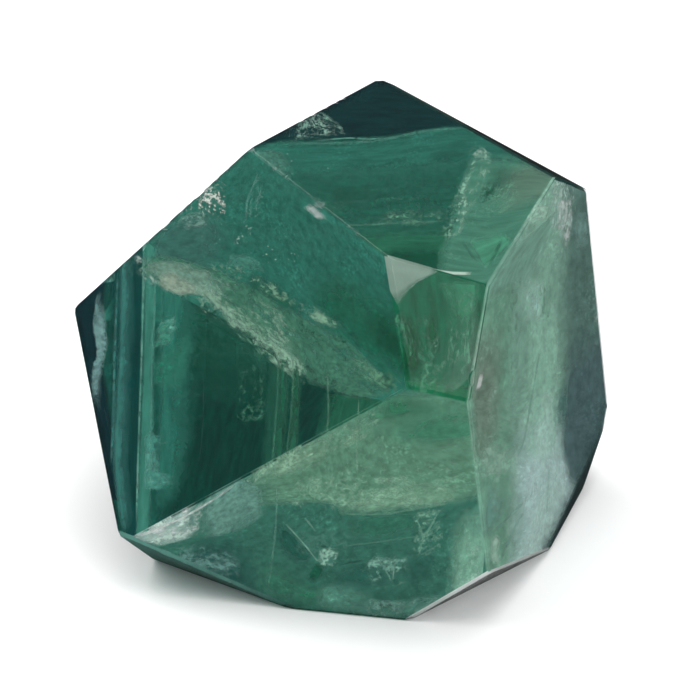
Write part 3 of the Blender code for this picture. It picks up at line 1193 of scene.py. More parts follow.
# Milky clouds.
CLOUD_SHEETS = (
    # The milky veil across the upper left face, and a wisp above it.
    *under(
        "left",
        (
            "-21.5,7.8 -17.8,6.4 -14.5,5.3 -10.5,2.4 -7,-0.4 -3.3,-3.6 0,-4.8 5.5,-5.4",
            "-20.3,10 -15.3,9.4 -10.5,7.5 -6,5.1 0.2,1.6 4.9,-2.8",
            "487865", 0.97, (0.08, 0.1, 0.08, 0.15), 0.468,
        ),
        (
            "-19.3,6.4 -17.1,5.6 -14.5,5.2",
            "-18.9,8.8 -16.5,8.4 -13.9,7",
            "98a696", 0.95, (0.3, 0.35, 0.1, 0.5), 0.464,
        ),
        (
            "-13.1,3.8 -8.9,0.8 -3.5,-3.6",
            "-12.3,5.4 -8.3,3.4 -2.3,0",
            "54826c", 0.6, (0.2, 0.3, 0.1, 0.4), 0.462,
        ),
        (
            "-12.3,8.6 -10,8 -7.3,7.6",
            "-12.1,10.2 -9.9,10 -7.7,9",
            "4e8476", 0.8, (0.3, 0.4, 0.3, 0.4), 0.468,
        ),
    ),
    # The lower face, white at its left edge and milky along its upper one.
    *under(
        "front",
        (
            "-22.7,-20 -19.5,-19.4 -16.7,-19.4 -13.9,-19.3",
            "-22.7,-17.8 -19.5,-16.5 -16.7,-15 -13.7,-13.5",
            "8ca29c", 0.95, (0, 0.3, 0.15, 0.15), 0.468,
        ),
        (
            "-15.1,-19.4 -11.3,-18.5 -7.1,-16.2",
            "-14.5,-14.2 -10.9,-12.3 -8.3,-13.2",
            "688e84", 0.88, (0.3, 0.35, 0.15, 0.1), 0.466,
        ),
        (
            "-0.5,-16.6 5.5,-16.1 11.5,-15.3",
            "-0.5,-13.2 5.5,-12.4 12,-12.2",
            "789c86", 0.75, (0.4, 0.2, 0.03, 0.6), 0.464,
        ),
        (
            "-8.9,-13.6 -4.5,-12.6 0,-11",
            "-8.9,-11.2 -5.5,-9.6 -1,-7.2",
            "668874", 0.8, (0.3, 0.4, 0.5, 0.03), 0.462,
        ),
    ),
    # A pale ribbon beside the navy tip, and haze among the columns.
    *under(
        "left",
        (
            "-24.8,-8.4 -25.55,-4.8 -25.6,-3.1 -25.55,-1.6 -25,-0.5 -25.1,0.9 -25.4,3 -25,6.6",
            "-23.3,-8.4 -24,-4.8 -23.9,-3.1 -23.6,-1.6 -23.7,-0.5 -23.5,0.9 -23.7,3 -23.8,7",
            "7ca09e", 0.97, (0.35, 0.15, 0.12, 0.6), 0.468,
        ),
        (
            "-20.3,-13 -20.2,-11.2 -20.1,-9.4",
            "-18.5,-13.2 -18.1,-11.2 -18.5,-9.4",
            "609a8e", 0.8, (0.2, 0.2, 0.1, 0.5), 0.468,
        ),
        (
            "-17.9,-4.8 -17.7,-1.4 -17.5,2",
            "-15.9,-4.8 -14.9,-1.4 -14.1,2",
            "3a7c6a", 0.6, (0.4, 0.3, 0.3, 0.5), 0.468,
        ),
    ),
    # Haze by the top face's left ridge.
    *under(
        "top",
        (
            "-9.5,17 -6.9,16.8 -4.9,16.2",
            "-9.3,20.8 -7.3,20.6 -4.9,20.2",
            "528072", 0.75, (0.2, 0.5, 0.3, 0.1), 0.468,
        ),
    ),
    # Pale drifts down the right face.
    *under(
        "right",
        (
            "17.5,-11.8 18.1,-4.8 18.1,6.2",
            "21.5,-10.8 21.7,-3.8 21.5,6.2",
            "88a89a", 0.7, (0.2, 0.2, 0.3, 0.15), 0.468,
        ),
        (
            "16.3,-24.8 17.3,-18.8 18.5,-11.8",
            "22.1,-22.4 22.7,-16.8 22.3,-10.3",
            "9cb0aa", 0.75, (0.3, 0.3, 0.4, 0.3), 0.464,
        ),
        (
            "17.3,-13.4 18.5,-8.8 19.5,-3.2",
            "21.5,-13.4 21.1,-8.8 21.3,-3.2",
            "9ab4aa", 0.9, (0.5, 0.5, 0.45, 0.3), 0.462,
        ),
        (
            "16.9,-8.8 17.3,-6.8 17.9,-4.4",
            "19.1,-8.4 19.1,-6.6 18.9,-4.6",
            "92bca4", 0.8, (0.5, 0.5, 0.45, 0.45), 0.464,
        ),
        (
            "22.5,9.6 22.7,12 22.9,14.6",
            "24.5,9.6 24.5,12 24.3,14.6",
            "708c86", 0.7, (0.3, 0.3, 0.4, 0.3), 0.468,
        ),
    ),
    # The veil's pale root, and wisps among the columns.
    *under(
        "left",
        (
            "-20.3,8.2 -17.7,6.4 -14.5,5.3 -10.5,4.2",
            "-19.5,9.4 -16.7,9.4 -13.5,8.4 -10.1,6.8",
            "769688", 0.9, (0.15, 0.45, 0.1, 0.3), 0.466,
        ),
        (
            "-19.3,0.2 -18.3,0.2 -16.9,0.6",
            "-19,3 -17.9,3.4 -16.6,4",
            "4c8e7a", 0.9, (0.1, 0.12, 0.25, 0.2), 0.468,
        ),
        (
            "-19.4,-4.4 -17.7,-4.4 -15.3,-3.8",
            "-19.3,0.6 -17.7,0.8 -14.5,1.2",
            "367a67", 0.7, (0.1, 0.5, 0.3, 0.35), 0.47,
        ),
        (
            "-20.3,-10.4 -19.3,-10.4 -17.7,-10",
            "-20.3,-7.8 -19.1,-7.8 -17.7,-8",
            "549488", 0.95, (0.1, 0.5, 0.3, 0.3), 0.464,
        ),
        (
            "-20.3,-14.2 -18.7,-14 -16.5,-13.4",
            "-20.3,-11 -18.7,-11.4 -16.9,-12.4",
            "508e82", 0.95, (0.1, 0.5, 0.3, 0.3), 0.464,
        ),
    ),
)

# Fibrous veils.
VEIL_SHEETS = (
    # The lower face's white left edge.
    *under(
        "front",
        (
            "-22.7,-19.8 -18,-19.3 -14,-18.8",
            "-22.7,-17.9 -18,-16 -13.7,-13.6",
            "ced6d0", 0.8, (0, 0.3, 0.15, 0.15), 0.46,
        ),
    ),
    # The ends of the right face, and the middle of its ridge.
    *under(
        "right",
        (
            "20,11.2 20.3,14.7 20.5,17.4",
            "23.3,11.4 23.5,14.7 23.1,17",
            "a0b5ac", 0.97, (0.2, 0.1, 0.2, 0.2), 0.46,
        ),
        (
            "15.5,10.2 16.7,12.6 18.1,14.6",
            "18.5,10.2 19.5,12.6 20.5,14.8",
            "96b0a4", 0.75, (0.3, 0.2, 0.3, 0.3), 0.46,
        ),
        (
            "16.1,-23.8 17.3,-15.8 18.1,-7.8",
            "22.3,-20.8 22.9,-13.8 22.1,-6.8",
            "9eb2ab", 0.7, (0.2, 0.3, 0.3, 0.3), 0.46,
        ),
        (
            "16.7,1.8 17.1,5.2 17.5,7.8",
            "20.3,2.2 20.3,5.2 20.3,7.8",
            "96baa8", 0.8, (0.3, 0.3, 0.3, 0.3), 0.46,
        ),
    ),
    # The blunt tip.
    *under(
        "front_tip",
        (
            "9.5,-2.8 9.9,2.2 9.5,6.6",
            "12.9,-2.8 13.3,2.2 13.5,6.2",
            "6eb896", 0.97, (0.2, 0.1, 0.2, 0.1), 0.46,
        ),
        ("5.7,-1.4 5.5,1.2 5.1,3.6", "9.5,-1.4 9.3,1.2 8.5,4", "54a280", 0.95, (0.2, 0.2, 0.2, 0.3), 0.46),
    ),
    # Dark and pale fibres on the right face beside the tip, and pale ones at its upper end.
    *under(
        "right",
        ("16.1,1.6 16.3,4.6 16.7,7", "17.5,1.6 17.5,4.6 17.5,7", "3e6254", 0.9, (0.2, 0.2, 0.2, 0.3), 0.46),
        (
            "19.5,2.6 19.7,5.2 19.9,7.4",
            "20.7,3 20.7,5.2 20.7,7.2",
            "426458", 0.85, (0.2, 0.2, 0.2, 0.3), 0.46,
        ),
        (
            "17.3,2.2 17.5,5 17.9,7.6",
            "20.1,2.6 20.1,5.2 20.1,7.6",
            "98beac", 0.92, (0.35, 0.35, 0.35, 0.35), 0.462,
        ),
        (
            "20.8,10.4 21.1,12.8 21.3,15.6",
            "22.6,10.4 22.8,12.8 22.9,15.6",
            "b0c4bc", 0.95, (0.15, 0.15, 0.2, 0.2), 0.456,
        ),
    ),
)

# Crumbly, feathery veils.
FEATHER_SHEETS = (
    # The pale feather that climbs the top face, and crumbs about it.
    *under(
        "top",
        (
            "8.5,11.2 10.1,14.6 11.4,17.2 12.7,20.4",
            "11.7,10.8 13.3,13.8 14.7,16.8 15.5,20.4",
            "96beaa", 0.97, (0.08, 0.08, 0.03, 0.55), 0.454,
        ),
        (
            "11.9,18.8 13.3,18.6 14.7,18.4",
            "12.1,20.4 13.5,21 14.9,20.2",
            "b4cec0", 0.95, (0.2, 0.3, 0.3, 0.3), 0.45,
        ),
        (
            "11.3,11.6 14.1,12.6 17.5,14.6",
            "12.9,16.2 15.5,17.4 18.5,18.2",
            "70a08a", 0.9, (0.2, 0.3, 0.3, 0.3), 0.452,
        ),
        (
            "2.1,12.4 6.5,12.4 10.1,12.6",
            "2.7,14.6 6.5,14.8 10.1,14.6",
            "76a28c", 0.95, (0.4, 0.1, 0.2, 0.5), 0.454,
        ),
        (
            "8.5,6.6 10,7.2 11.1,7.6",
            "9.1,12.6 10.1,12.8 11.1,13",
            "62967e", 0.75, (0.1, 0.2, 0.05, 0.6), 0.454,
        ),
        (
            "-6.9,20.2 -3.7,20.8 0.5,21",
            "-5.7,24.6 -2.9,25 0.1,22.4",
            "88aea0", 0.97, (0.2, 0.2, 0.1, 0.4), 0.454,
        ),
    ),
    # The veil's crumbly parts, and crumbs among the columns.
    *under(
        "left",
        (
            "-21.7,8 -20.3,7 -18.7,6",
            "-21.1,10.2 -19.7,9.6 -18.1,8.6",
            "acbeb6", 0.97, (0.1, 0.2, 0.15, 0.2), 0.454,
        ),
        (
            "-17.5,5.6 -13.5,4 -8.3,0.2 -4.5,-2.6",
            "-17.3,9 -13.9,8.8 -8.3,6 -2.7,2.6",
            "96b4a0", 0.8, (0.1, 0.3, 0.2, 0.3), 0.452,
        ),
        (
            "-15.3,4.6 -10.5,1.2 -3.5,-4.4",
            "-14.3,6 -9.7,3.2 -2.7,-1.6",
            "96b4a0", 0.95, (0.1, 0.2, 0.15, 0.5), 0.45,
        ),
        (
            "-14.9,8.4 -10.1,6.8 -4.5,3.8 0.7,0.8",
            "-14.5,10 -9.5,8.4 -3.9,5.4 1.5,2.2",
            "8aae96", 0.95, (0.2, 0.3, 0.3, 0.5), 0.45,
        ),
        ("-0.5,-1.2 2.5,-3.2 5.9,-5", "0.1,0.6 3.1,-1 6.1,-2.8", "6a987c", 0.9, (0.3, 0.2, 0.3, 0.4), 0.45),
        (
            "-11.1,-7.4 -10.9,-3.8 -10.9,0.8",
            "-7.9,-7.4 -7.7,-3.8 -8.1,1.2",
            "467e68", 0.95, (0.2, 0.15, 0.15, 0.25), 0.454,
        ),
        (
            "-19.3,0 -18.1,0.2 -16.7,0.5",
            "-19,3.4 -17.9,3.8 -16.5,4.4",
            "70ac9e", 0.97, (0.1, 0.15, 0.2, 0.15), 0.454,
        ),
        (
            "-20.4,-10 -19,-10 -17.3,-9.4",
            "-20.4,-7.8 -18.9,-7.6 -17.2,-7.8",
            "6ea498", 0.97, (0.05, 0.4, 0.2, 0.3), 0.454,
        ),
        (
            "-20.4,-13.8 -18.9,-13.6 -16.1,-13.2",
            "-20.3,-11 -18.7,-11.2 -16.7,-12.4",
            "6aa296", 0.95, (0.05, 0.4, 0.2, 0.3), 0.454,
        ),
        (
            "-10.7,12.6 -9.9,14.8 -9.3,18.4",
            "-9.3,12.4 -8.5,14.6 -7.9,18.2",
            "64988c", 0.8, (0.3, 0.3, 0.4, 0.4), 0.454,
        ),
        (
            "-17.7,11.2 -14.9,12 -12.9,12.2",
            "-16.7,13.8 -14.9,14.4 -12.9,14.6",
            "84a298", 0.7, (0.2, 0.4, 0.3, 0.3), 0.454,
        ),
    ),
    # The lower face.
    *under(
        "front",
        (
            "-10.1,-14.4 -7.5,-13.4 -4.5,-11.8 0,-10.2 5.1,-7.4",
            "-9.9,-11.8 -7.7,-10.6 -4.5,-9 0,-7 5.3,-3.8",
            "86a690", 0.9, (0.15, 0.2, 0.4, 0.25), 0.45,
        ),
        (
            "-22.7,-19.7 -18,-19.5 -13.1,-18.8",
            "-22.7,-18.2 -18,-16.2 -12.9,-13.7",
            "b4c6be", 0.92, (0, 0.25, 0.15, 0.3), 0.45,
        ),
        (
            "-5.9,-15.6 -0.5,-16 12.5,-15.8",
            "-5.5,-12.8 -0.5,-11.4 13.5,-10",
            "8eb29b", 0.8, (0.2, 0.2, 0.1, 0.3), 0.454,
        ),
        (
            "2.1,-24 4.3,-24 6.7,-23.8",
            "1.9,-20.2 4.3,-20 6.7,-19.8",
            "80aa9c", 0.97, (0.15, 0.2, 0.2, 0.3), 0.454,
        ),
        (
            "6.5,-20.8 8.1,-20.6 10.1,-20",
            "6.7,-15.6 8.3,-15.4 10.1,-15.2",
            "80ac98", 0.97, (0.15, 0.15, 0.2, 0.2), 0.454,
        ),
        (
            "1.5,-26.6 5.5,-26.8 10.1,-25.6",
            "1.5,-24.2 5.5,-24.6 10.1,-23.6",
            "70948a", 0.85, (0.2, 0.3, 0.3, 0.3), 0.454,
        ),
        (
            "-17.3,-21.6 -14.5,-22.4 -9.7,-23.4",
            "-17.3,-19.2 -14.1,-18.8 -9.7,-20",
            "6c928c", 0.85, (0.2, 0.3, 0.3, 0.3), 0.454,
        ),
        (
            "10.5,-24.8 11.9,-24.6 13.7,-24",
            "10.5,-18.6 12,-18.4 13.9,-18.2",
            "9abcac", 0.9, (0.2, 0.05, 0.2, 0.2), 0.454,
        ),
    ),
    # The right face's ridge.
    *under(
        "right",
        (
            "12.9,-12.8 13.7,-7.8 14.1,-2.8",
            "16.3,-12.8 16.7,-7.8 16.7,-2.8",
            "8ea69a", 0.65, (0.2, 0.2, 0.2, 0.3), 0.454,
        ),
    ),
    # The blunt tip's left side.
    *under(
        "front_tip",
        (
            "5.5,-4.8 5.5,-0.4 4.5,3.8",
            "7.1,-5 6.7,-0.4 5.7,4.4",
            "70b696", 0.97, (0.1, 0.1, 0.1, 0.35), 0.454,
        ),
        (
            "5.9,-4.6 6.7,-2.4 7.3,-0.4",
            "10.1,-5 10.3,-2.8 10.5,-0.4",
            "6eb894", 0.97, (0.1, 0.2, 0.15, 0.25), 0.454,
        ),
    ),
    # The right face's upper end.
    *under(
        "right",
        (
            "17.5,12.6 18.1,13.8 18.9,15.2",
            "20.1,12.2 20.5,13.6 20.7,14.8",
            "96b0a2", 0.85, (0.3, 0.3, 0.3, 0.3), 0.454,
        ),
    ),
    # Faint crumbs in the middle of the lower face.
    *under(
        "front",
        (
            "-5.5,-20.8 -1.5,-20.4 3.5,-19.6",
            "-5.5,-16.8 -1.5,-16.8 3.5,-16.4",
            "548476", 0.6, (0.3, 0.4, 0.3, 0.4), 0.454,
        ),
    ),
    # The right face's ridge, lower down.
    *under(
        "right",
        (
            "13.9,-16.8 14.7,-12.8 15.5,-8.8",
            "17.1,-16.8 17.5,-12.8 17.9,-9.2",
            "88a698", 0.7, (0.3, 0.3, 0.3, 0.3), 0.454,
        ),
    ),
)

# White crusts.
CRUST_SHEETS = (
    # The nicks on the upper left rim.
    *under(
        "left",
        (
            "-15.3,13.8 -13.3,13 -11.7,13",
            "-14.5,17 -13.3,17.6 -11.7,16.8",
            "e0e2da", 0.97, (0.05, 0.1, 0.1, 0.1), 0.436,
        ),
        (
            "-17.1,13.2 -15.9,13.3 -14.9,13.6",
            "-17.1,14.8 -15.9,14.9 -14.9,14.9",
            "d2d4cc", 0.95, (0.3, 0.3, 0.3, 0.3), 0.436,
        ),
    ),
    # The left foot of the navy peak.
    *under(
        "top",
        (
            "-6.9,20.8 -4.1,21.1 0.1,21.3",
            "-6.1,22.8 -3.5,24.2 -0.5,23.2",
            "96b8aa", 0.9, (0.4, 0.5, 0.15, 0.35), 0.436,
        ),
    ),
    # A white spot low on the lower face.
    *under(
        "front",
        (
            "-2.9,-21.6 -1.7,-21.7 -0.4,-21.5",
            "-2.8,-19.4 -1.7,-19.3 -0.4,-19.6",
            "98beae", 0.95, (0.2, 0.2, 0.3, 0.2), 0.436,
        ),
    ),
    # A crumb above the veil.
    *under(
        "left",
        (
            "-11.5,10.4 -10.3,10.3 -9.1,10.6",
            "-11.5,12.8 -10.3,12.9 -9.1,12.6",
            "aad0c2", 0.9, (0.3, 0.3, 0.3, 0.3), 0.436,
        ),
    ),
    # Flecks in the blunt tip.
    *under(
        "front_tip",
        (
            "7.9,-0.8 8.5,0.6 8.9,2.2",
            "9.9,-0.8 10.1,0.6 10.3,2.2",
            "7eba9e", 0.85, (0.3, 0.3, 0.3, 0.3), 0.436,
        ),
    ),
    # Dark gaps in the veil.
    *under(
        "left",
        (
            "-6.1,2.6 -2.9,0.6 0.7,-1.6",
            "-4.7,5.2 -1.5,3 1.9,0.6",
            "1a503a", 0.9, (0.2, 0.2, 0.3, 0.3), 0.436,
        ),
        (
            "-14.9,4 -13.7,3.2 -12.1,2.2",
            "-14.1,5.2 -12.9,4.6 -11.5,3.8",
            "1e4e40", 0.9, (0.2, 0.3, 0.3, 0.3), 0.436,
        ),
    ),
    # Dark gaps beside the pale feather.
    *under(
        "top",
        (
            "12.5,13.8 14.7,14.2 16.7,14.6",
            "13.5,17.2 15.5,17.6 17.5,17.6",
            "2c5a4a", 0.85, (0.3, 0.3, 0.3, 0.3), 0.436,
        ),
    ),
)

# Scattered specks.
SPECK_SHEETS = (
    # Above the veil.
    *under(
        "left",
        (
            "-11.3,9 -8.3,8.8 -4.5,8.4",
            "-11.3,12.4 -8.3,11.2 -3.9,10.2",
            "bad6c8", 0.9, (0.1, 0.2, 0.1, 0.1), 0.44,
        ),
    ),
    # By the top face's left ridge.
    *under(
        "top",
        (
            "-6.9,17.4 -4.5,17 -1.5,15.8",
            "-6.5,20.4 -3.9,19.8 -1.1,18.8",
            "9cbaac", 0.85, (0.1, 0.2, 0.2, 0.2), 0.44,
        ),
    ),
    # Under the upper left rim.
    *under(
        "left",
        (
            "-15.5,10.2 -12.5,10.2 -8.5,10.2",
            "-14,13.7 -11.5,14.7 -7.5,18.2",
            "8cac9e", 0.7, (0.1, 0.1, 0.1, 0.1), 0.44,
        ),
    ),
)

# Fine lines of growth, cracks and ridges, and a painted highlight on a chip of a ridge.
LINE_AND_GLINT_SHEETS = (
    # Levels across the top face.
    *threads(
        "top",
        ("-7.3,20.9 0.4,20.95 4.3,21.35 7.9,22.1 12.3,22.45", 0.4, "548a7c", 0.85, 0.444),
        ("-3.3,21.1 0.4,21.4 2.4,21.3 5.7,21.5", 0.25, "70a496", 0.9, 0.444),
        ("-1.5,12.6 3.5,12.8 10.1,13.1", 0.3, "60927e", 0.7, 0.444),
        ("-4.5,14.7 3.5,15.2 9.5,15.4", 0.35, "427264", 0.5, 0.444),
    ),
    # The edges of the columns, and the chip on the ridge, painted white as a highlight.
    *threads(
        "left",
        ("-8.5,18.4 -9.3,16.4 -9.8,15 -9.9,13", 0.3, "64968a", 0.7, 0.444),
        ("-22.7,8.4 -23,0.7 -23.2,-6.8 -23.4,-11.4", 0.45, "4e847e", 0.9, 0.444),
        ("-20.1,10.6 -20.3,0.7 -20.6,-7.8 -20.9,-17.6", 0.35, "70a698", 0.95, 0.444),
        ("-19,9 -19.1,3.2 -19.3,0.7 -19.4,-7.8 -19.6,-12.8", 0.35, "589486", 0.85, 0.444),
        ("-14.2,-2 -14.15,-5.8 -14.6,-11.8", 0.2, "2c5a4e", 0.6, 0.444),
        ("-6.7,0 -6.8,-4.8 -7.3,-11.4", 0.3, "50866e", 0.75, 0.444),
        ("-5.2,-0.4 -5.3,-4.8 -5.9,-10.8", 0.3, "548870", 0.75, 0.444),
        ("-1.8,-1.9 -1.65,-5.8 -1.9,-9.6", 0.28, "64927c", 0.8, 0.444),
        ("1.4,-4.4 1.3,-6.8 1.3,-8.8", 0.25, "72a088", 0.85, 0.444),
        # The chip on the ridge: its white is a painted highlight.
        ("-4,14.8 -3.4,14.3 -2.7,13.7 -1.9,13.1", 1, "f0f4ee", 1, 0.494),
    ),
    # Cracks and seams in the lower face.
    *threads(
        "front",
        ("1.3,-8.4 1.15,-10.3 1.25,-12.2", 0.25, "789c86", 0.6, 0.444),
        ("-6.8,-13.5 -6.95,-17.8 -7.7,-23.8", 0.28, "629282", 0.75, 0.444),
        ("-6.2,-16.9 -4.7,-18.5 -3.5,-19.9 -2.7,-20.9 -1,-21.3", 0.25, "8ab4a4", 0.95, 0.444),
        ("-4.1,-16.5 -3.5,-17.2 -2.8,-18.1", 0.25, "82ac9c", 0.85, 0.444),
        ("-2.6,-19.1 -1.9,-19.6 -1.2,-20.1", 0.5, "245042", 0.85, 0.444),
        ("0,-19.4 4,-18.9 7.5,-18.4", 0.25, "5c8a78", 0.7, 0.444),
        ("7.1,-16.4 7.7,-18.2 7.9,-19.4", 0.3, "84b09c", 0.9, 0.444),
        ("9.3,-16.2 8.5,-17.6 7.7,-18.8 7.3,-20.8", 0.3, "7ca894", 0.85, 0.444),
        ("3.1,-20.4 4.1,-21.8 4.7,-23.2", 0.3, "80aa9c", 0.85, 0.444),
        ("5,-20.6 4.9,-21.8 4.7,-23.4", 0.3, "80aa9c", 0.85, 0.444),
        ("-0.5,-21.3 0.7,-21 2.5,-20.8", 0.3, "224a42", 0.8, 0.444),
        ("-0.1,-16.2 3.8,-16.2 7.5,-15.6 10.5,-15.1", 0.3, "7ca08c", 0.6, 0.444),
        ("-22.3,-18.8 -18.5,-17.6 -14.5,-15.6 -10.9,-13.2", 0.35, "ccd2ce", 0.8, 0.444),
    ),
    # Healed cracks down the right face.
    *threads(
        "right",
        ("19.5,0.2 18.7,-4.4 17.9,-8.8 17.1,-10.6", 0.35, "5c7c70", 0.85, 0.444),
        ("20.4,-11.2 20.3,-14 20.1,-16.8", 0.3, "709088", 0.7, 0.444),
        ("18.1,-14.8 16.7,-16.2 14.5,-18.3", 0.35, "68867e", 0.85, 0.444),
        ("18.1,-15.7 17.1,-17.2 16.4,-18.9 15.3,-21.3", 0.35, "6a8880", 0.85, 0.444),
        ("15.3,-17.9 14.9,-20 15.3,-21.4", 1.2, "9eb2a6", 0.85, 0.444),
        ("24.9,2.8 25.3,3.6 25.6,4.6", 0.7, "92a49e", 0.8, 0.444),
    ),
    # Dark marks above the blunt tip.
    *threads(
        "top",
        ("15.9,11.6 15.1,10 14.2,8.4", 0.6, "2c604e", 0.85, 0.444),
        ("11.6,11.5 12.4,10 13.4,8.8", 0.5, "346a56", 0.7, 0.444),
    ),
)

# Pale fresh breaks round the blunt tip, each with a painted highlight.
BREAK_GLEAM_SHEETS = (
    # The broad break above the blunt tip, and its bright tail along the ridge: both pale with a painted
    # highlight.
    *under(
        "front_tip",
        (
            "5.5,4.6 6,5.4 6.7,6.4 7.9,7.3 9.5,7.85",
            "2.1,10.7 4.7,10 6.7,9.4 8.3,9 9.5,8.6",
            "acc6b8", 1, (0, 0.02, 0.04, 0), 0.42,
        ),
    ),
    *under(
        "top",
        (
            "8.7,7.65 10.7,7.7 12.8,7.6",
            "8.7,8.4 10.7,8.1 12.8,8.05",
            "c4d6ca", 1, (0, 0.05, 0.1, 0.1), 0.42,
        ),
    ),
    # A small break at the tip's right foot, its white a painted highlight.
    *threads(
        "front_tip",
        ("12.9,-3.9 13.1,-2.7 13.5,-1.4", 0.9, "e0e4da", 0.97, 0.41),
    ),
    *under(
        "right",
        (
            "12.95,-4 13.2,-3.1 13.4,-2",
            "13.5,-3.9 13.8,-3 13.9,-1.9",
            "e2e6de", 1, (0.15, 0.15, 0.02, 0.3), 0.424,
        ),
    ),
)

# Dark, blurred shade along the rims.
RIM_SHEETS = (
    *under(
        "left",
        (
            "-27.7,4.7 -25.4,-6.8 -23.2,-18.8",
            "-26.3,4.1 -24,-6.8 -21.9,-18.2",
            "1a2c30", 0.9, (0, 0.05, 0, 0.9), 0.42,
        ),
        (
            "-27.7,5.2 -18.9,13 -9.7,21",
            "-26.6,4.4 -18.2,11.8 -9.2,19.7",
            "284845", 0.8, (0, 0, 0, 0.9), 0.42,
        ),
    ),
    *under(
        "top",
        (
            "-10.3,20.6 -3.7,24.2 3.9,28.2",
            "-9.3,19.4 -3.1,22.8 4.1,26.4",
            "18282e", 0.85, (0, 0, 0, 0.9), 0.42,
        ),
        (
            "3.5,28 12.7,23.4 21.9,18.4",
            "3.1,26.4 11.9,21.8 20.7,16.6",
            "1e3436", 0.85, (0, 0, 0, 0.9), 0.42,
        ),
    ),
    *under(
        "right",
        (
            "24.3,17.2 25.9,6.2 27.1,-5.6",
            "23.7,16.2 24.8,6.2 25.5,-5.6",
            "3e5254", 0.85, (0, 0, 0, 0.9), 0.42,
        ),
        (
            "26.9,-5 23.9,-13.4 20.1,-20.4",
            "25.3,-4.8 22.5,-12.6 19.1,-18.8",
            "3a4c4d", 0.85, (0, 0, 0, 0.95), 0.42,
        ),
    ),
    *under(
        "front",
        (
            "-21.9,-19 -14.2,-22.8 -5.5,-26.4",
            "-21.1,-18 -13.3,-21.4 -5.1,-24.8",
            "22423e", 0.8, (0, 0, 0, 0.9), 0.42,
        ),
        (
            "-5.9,-26.2 0.5,-26.8 6.9,-27.6",
            "-5.5,-25.2 0.5,-25.8 6.3,-26.2",
            "4c6a64", 0.6, (0, 0, 0, 0.9), 0.42,
        ),
    ),
    # The narrow faces round the rim, each painted all over in the one tone of light and shade that falls on
    # it.
    *under(
        "right_foot",
        ("5.5,-28.2 13.5,-24.2 21.1,-20.4", "5.5,-24.8 13.1,-21.4 20.1,-18.2", "aeaaa4", 0.97, HARD, 0.43),
    ),
    *under(
        "right_heel",
        ("19.5,-20.8 23.9,-14.8 27.1,-7.2", "18.1,-19.8 22.1,-13.8 25.1,-6.4", "44585a", 0.95, HARD, 0.46),
    ),
    *under(
        "left_foot",
        (
            "-23.5,-18.8 -14.5,-24.4 -4.9,-28",
            "-23.1,-17.6 -14,-20.8 -4.9,-24.6",
            "70a298", 0.95, HARD, 0.46,
        ),
    ),
    *under(
        "right_shoulder",
        ("3.5,28.2 14.9,23.2 25.3,17.6", "3.1,26 13.3,20.8 23.1,15.2", "2c4643", 0.95, HARD, 0.46),
    ),
)


def inclusions() -> tuple[Inclusions, ...]:
    """Gathers the pieces that lie in the crystal, from its zones to its rims.

    Returns:
        The pieces, in the order they are built.
    """
    return (
        Inclusions("growth_zones", ZONE, ZONE_SHEETS),
        Inclusions("growth_bands", BAND, BAND_SHEETS),
        Inclusions("milky_clouds", CLOUD, CLOUD_SHEETS),
        Inclusions("fibrous_veils", FIBRES, VEIL_SHEETS),
        Inclusions("feathery_veils", FEATHER, FEATHER_SHEETS),
        Inclusions("crusts", CRUST, CRUST_SHEETS),
        Inclusions("specks", SPECKS, SPECK_SHEETS),
        # The fine lines, with the painted highlight on the chip of a ridge.
        Inclusions("growth_lines_and_chip_glint", LINE_AND_GLINT, LINE_AND_GLINT_SHEETS),
        # The pale breaks round the blunt tip, with their painted highlights.
        Inclusions("pale_breaks_painted_gleam", BREAK_AND_PAINTED_GLEAM, BREAK_GLEAM_SHEETS),
        Inclusions("rim_shade", RIM, RIM_SHEETS),
    )


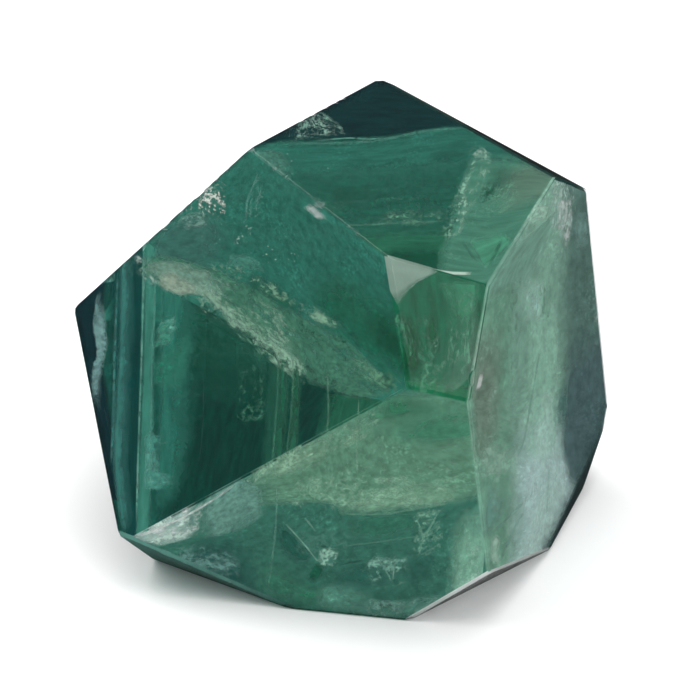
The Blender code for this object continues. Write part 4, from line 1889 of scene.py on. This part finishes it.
@dataclass
class Studio:
    """A plain pale floor, soft light from above and the camera.

    gap: how far the floor lies under the crystal, in millimetres, as air does.
    floor_size: half the floor's side, in metres.
    floor_squares: how many squares its mesh has along a side.
    floor_tones: how pale it is at its dullest and its palest.
    distance: how far the camera stands from the crystal's middle, in millimetres.
    aim: how far beside the middle it looks, across and up, in millimetres.
    lens: its focal length, in millimetres.
    near_end, far_end: where its view starts and ends, in metres.
    cap: strength of the light overhead.
    cap_way, cap_rim: where it lies, and how far a way leans to it at its rim, outside and inside.
    front_fill, back_fill: strength of the light round the sides, in front and behind.
    fill_way, fill_rim: the same as the cap's for the fill in front.
    below: the share of that left below the horizon, where only reflections look.
    horizon: how far up a way looks where the share below ends and the whole begins.
    """

    gap: float = 0.1
    floor_size: float = 3.0
    floor_squares: int = 8
    floor_tones: tuple[float, float] = (0.94, 0.96)
    distance: float = 594.0
    aim: Point = (0.5, 0.2)
    lens: float = 305.5
    near_end: float = 0.01
    far_end: float = 20.0
    cap: float = 2.6
    cap_way: Ways = (-0.35, 0.1, 0.93)
    cap_rim: tuple[float, float] = (0.62, 0.86)
    front_fill: float = 1.0
    back_fill: float = 0.1
    fill_way: Ways = (0.7, -1.0, 0.25)
    fill_rim: tuple[float, float] = (-0.2, 0.85)
    below: float = 0.15
    horizon: tuple[float, float] = (-0.08, 0.14)

    def eye(self) -> Vector:
        """Returns where the camera stands, in millimetres."""
        return MIDDLE + ACROSS * self.aim[0] + UP * self.aim[1] + OUT * self.distance

    def lay_floor(self) -> bpy.types.Object:
        """Lays the floor, which is hidden from glossy reflections.

        Returns:
            The floor.
        """
        mesh = bmesh.new()
        squares = self.floor_squares
        bmesh.ops.create_grid(mesh, x_segments=squares, y_segments=squares, size=self.floor_size)
        bmesh.ops.translate(mesh, verts=mesh.verts, vec=(0.0, 0.0, -self.gap * MM))
        bench = FinishBench("pale floor")
        grain = bench.noise(bench.grown(), scale=0.02, detail=2.0)
        pale = bench.blend(grain, *((tone, tone, tone, 1.0) for tone in self.floor_tones))
        bench.fill(bench.surface, {"Base Color": pale, "Roughness": 0.9, "Specular IOR Level": 0.0})
        floor = piece("floor", mesh, bench.material)
        floor.visible_glossy = False
        return floor

    def light(self) -> None:
        """Lights the scene with a soft cap of sky and a soft fill from the front."""
        world = bpy.data.worlds.new("studio")
        bpy.context.scene.world = world
        world.use_nodes = True
        bench = Bench(world.node_tree)
        where = bench.node("ShaderNodeTexCoord").outputs["Generated"]

        def towards(way: Ways) -> bpy.types.NodeSocket:
            """Returns how far a direction of the sky looks one way."""
            inputs = {0: where, 1: Vector(way).normalized()}
            return bench.node("ShaderNodeVectorMath", inputs, operation="DOT_PRODUCT").outputs["Value"]

        cap = bench.ease(towards(self.cap_way), *self.cap_rim, 0.0, self.cap)
        fill = bench.ease(towards(self.fill_way), *self.fill_rim, self.back_fill, self.front_fill)
        above = bench.ease(towards((0.0, 0.0, 1.0)), *self.horizon, self.below, 1.0)
        strength = bench.maths("ADD", cap, bench.maths("MULTIPLY", fill, above))
        sky = bench.node("ShaderNodeBackground", {"Color": (1.0, 1.0, 1.0, 1.0), "Strength": strength})
        bench.tree.links.new(sky.outputs[0], bench.node("ShaderNodeOutputWorld").inputs["Surface"])

    def place_camera(self) -> None:
        """Places the camera."""
        camera = bpy.data.objects.new("camera", bpy.data.cameras.new("camera"))
        camera.data.lens = self.lens
        camera.data.clip_start = self.near_end
        camera.data.clip_end = self.far_end
        turn = Matrix((ACROSS, UP, OUT)).transposed().to_4x4()
        camera.matrix_world = Matrix.Translation(self.eye() * MM) @ turn
        bpy.context.scene.collection.objects.link(camera)
        bpy.context.scene.camera = camera


def main() -> None:
    """Builds the crystal's pieces in order, then the studio."""
    logging.basicConfig(level=logging.INFO, format="%(name)s: %(message)s")
    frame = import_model()
    studio = Studio()
    form = CrystalForm(FACES, studio.eye())
    skin = ClearCrystal().build(frame["nodes"][NODE])
    haze = ZonedHaze(ZonedFinish(GROWTH)).build(form)
    pieces = [skin, haze, *(group.build(form) for group in inclusions())]
    for made in pieces:
        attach(made, BODY)
        LOG.info("%s: %d faces", made.name, len(made.data.polygons))
    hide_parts(NODE)
    studio.lay_floor()
    studio.light()
    studio.place_camera()
    bpy.context.scene.view_settings.view_transform = "Standard"


if __name__ == "__main__":
    main()
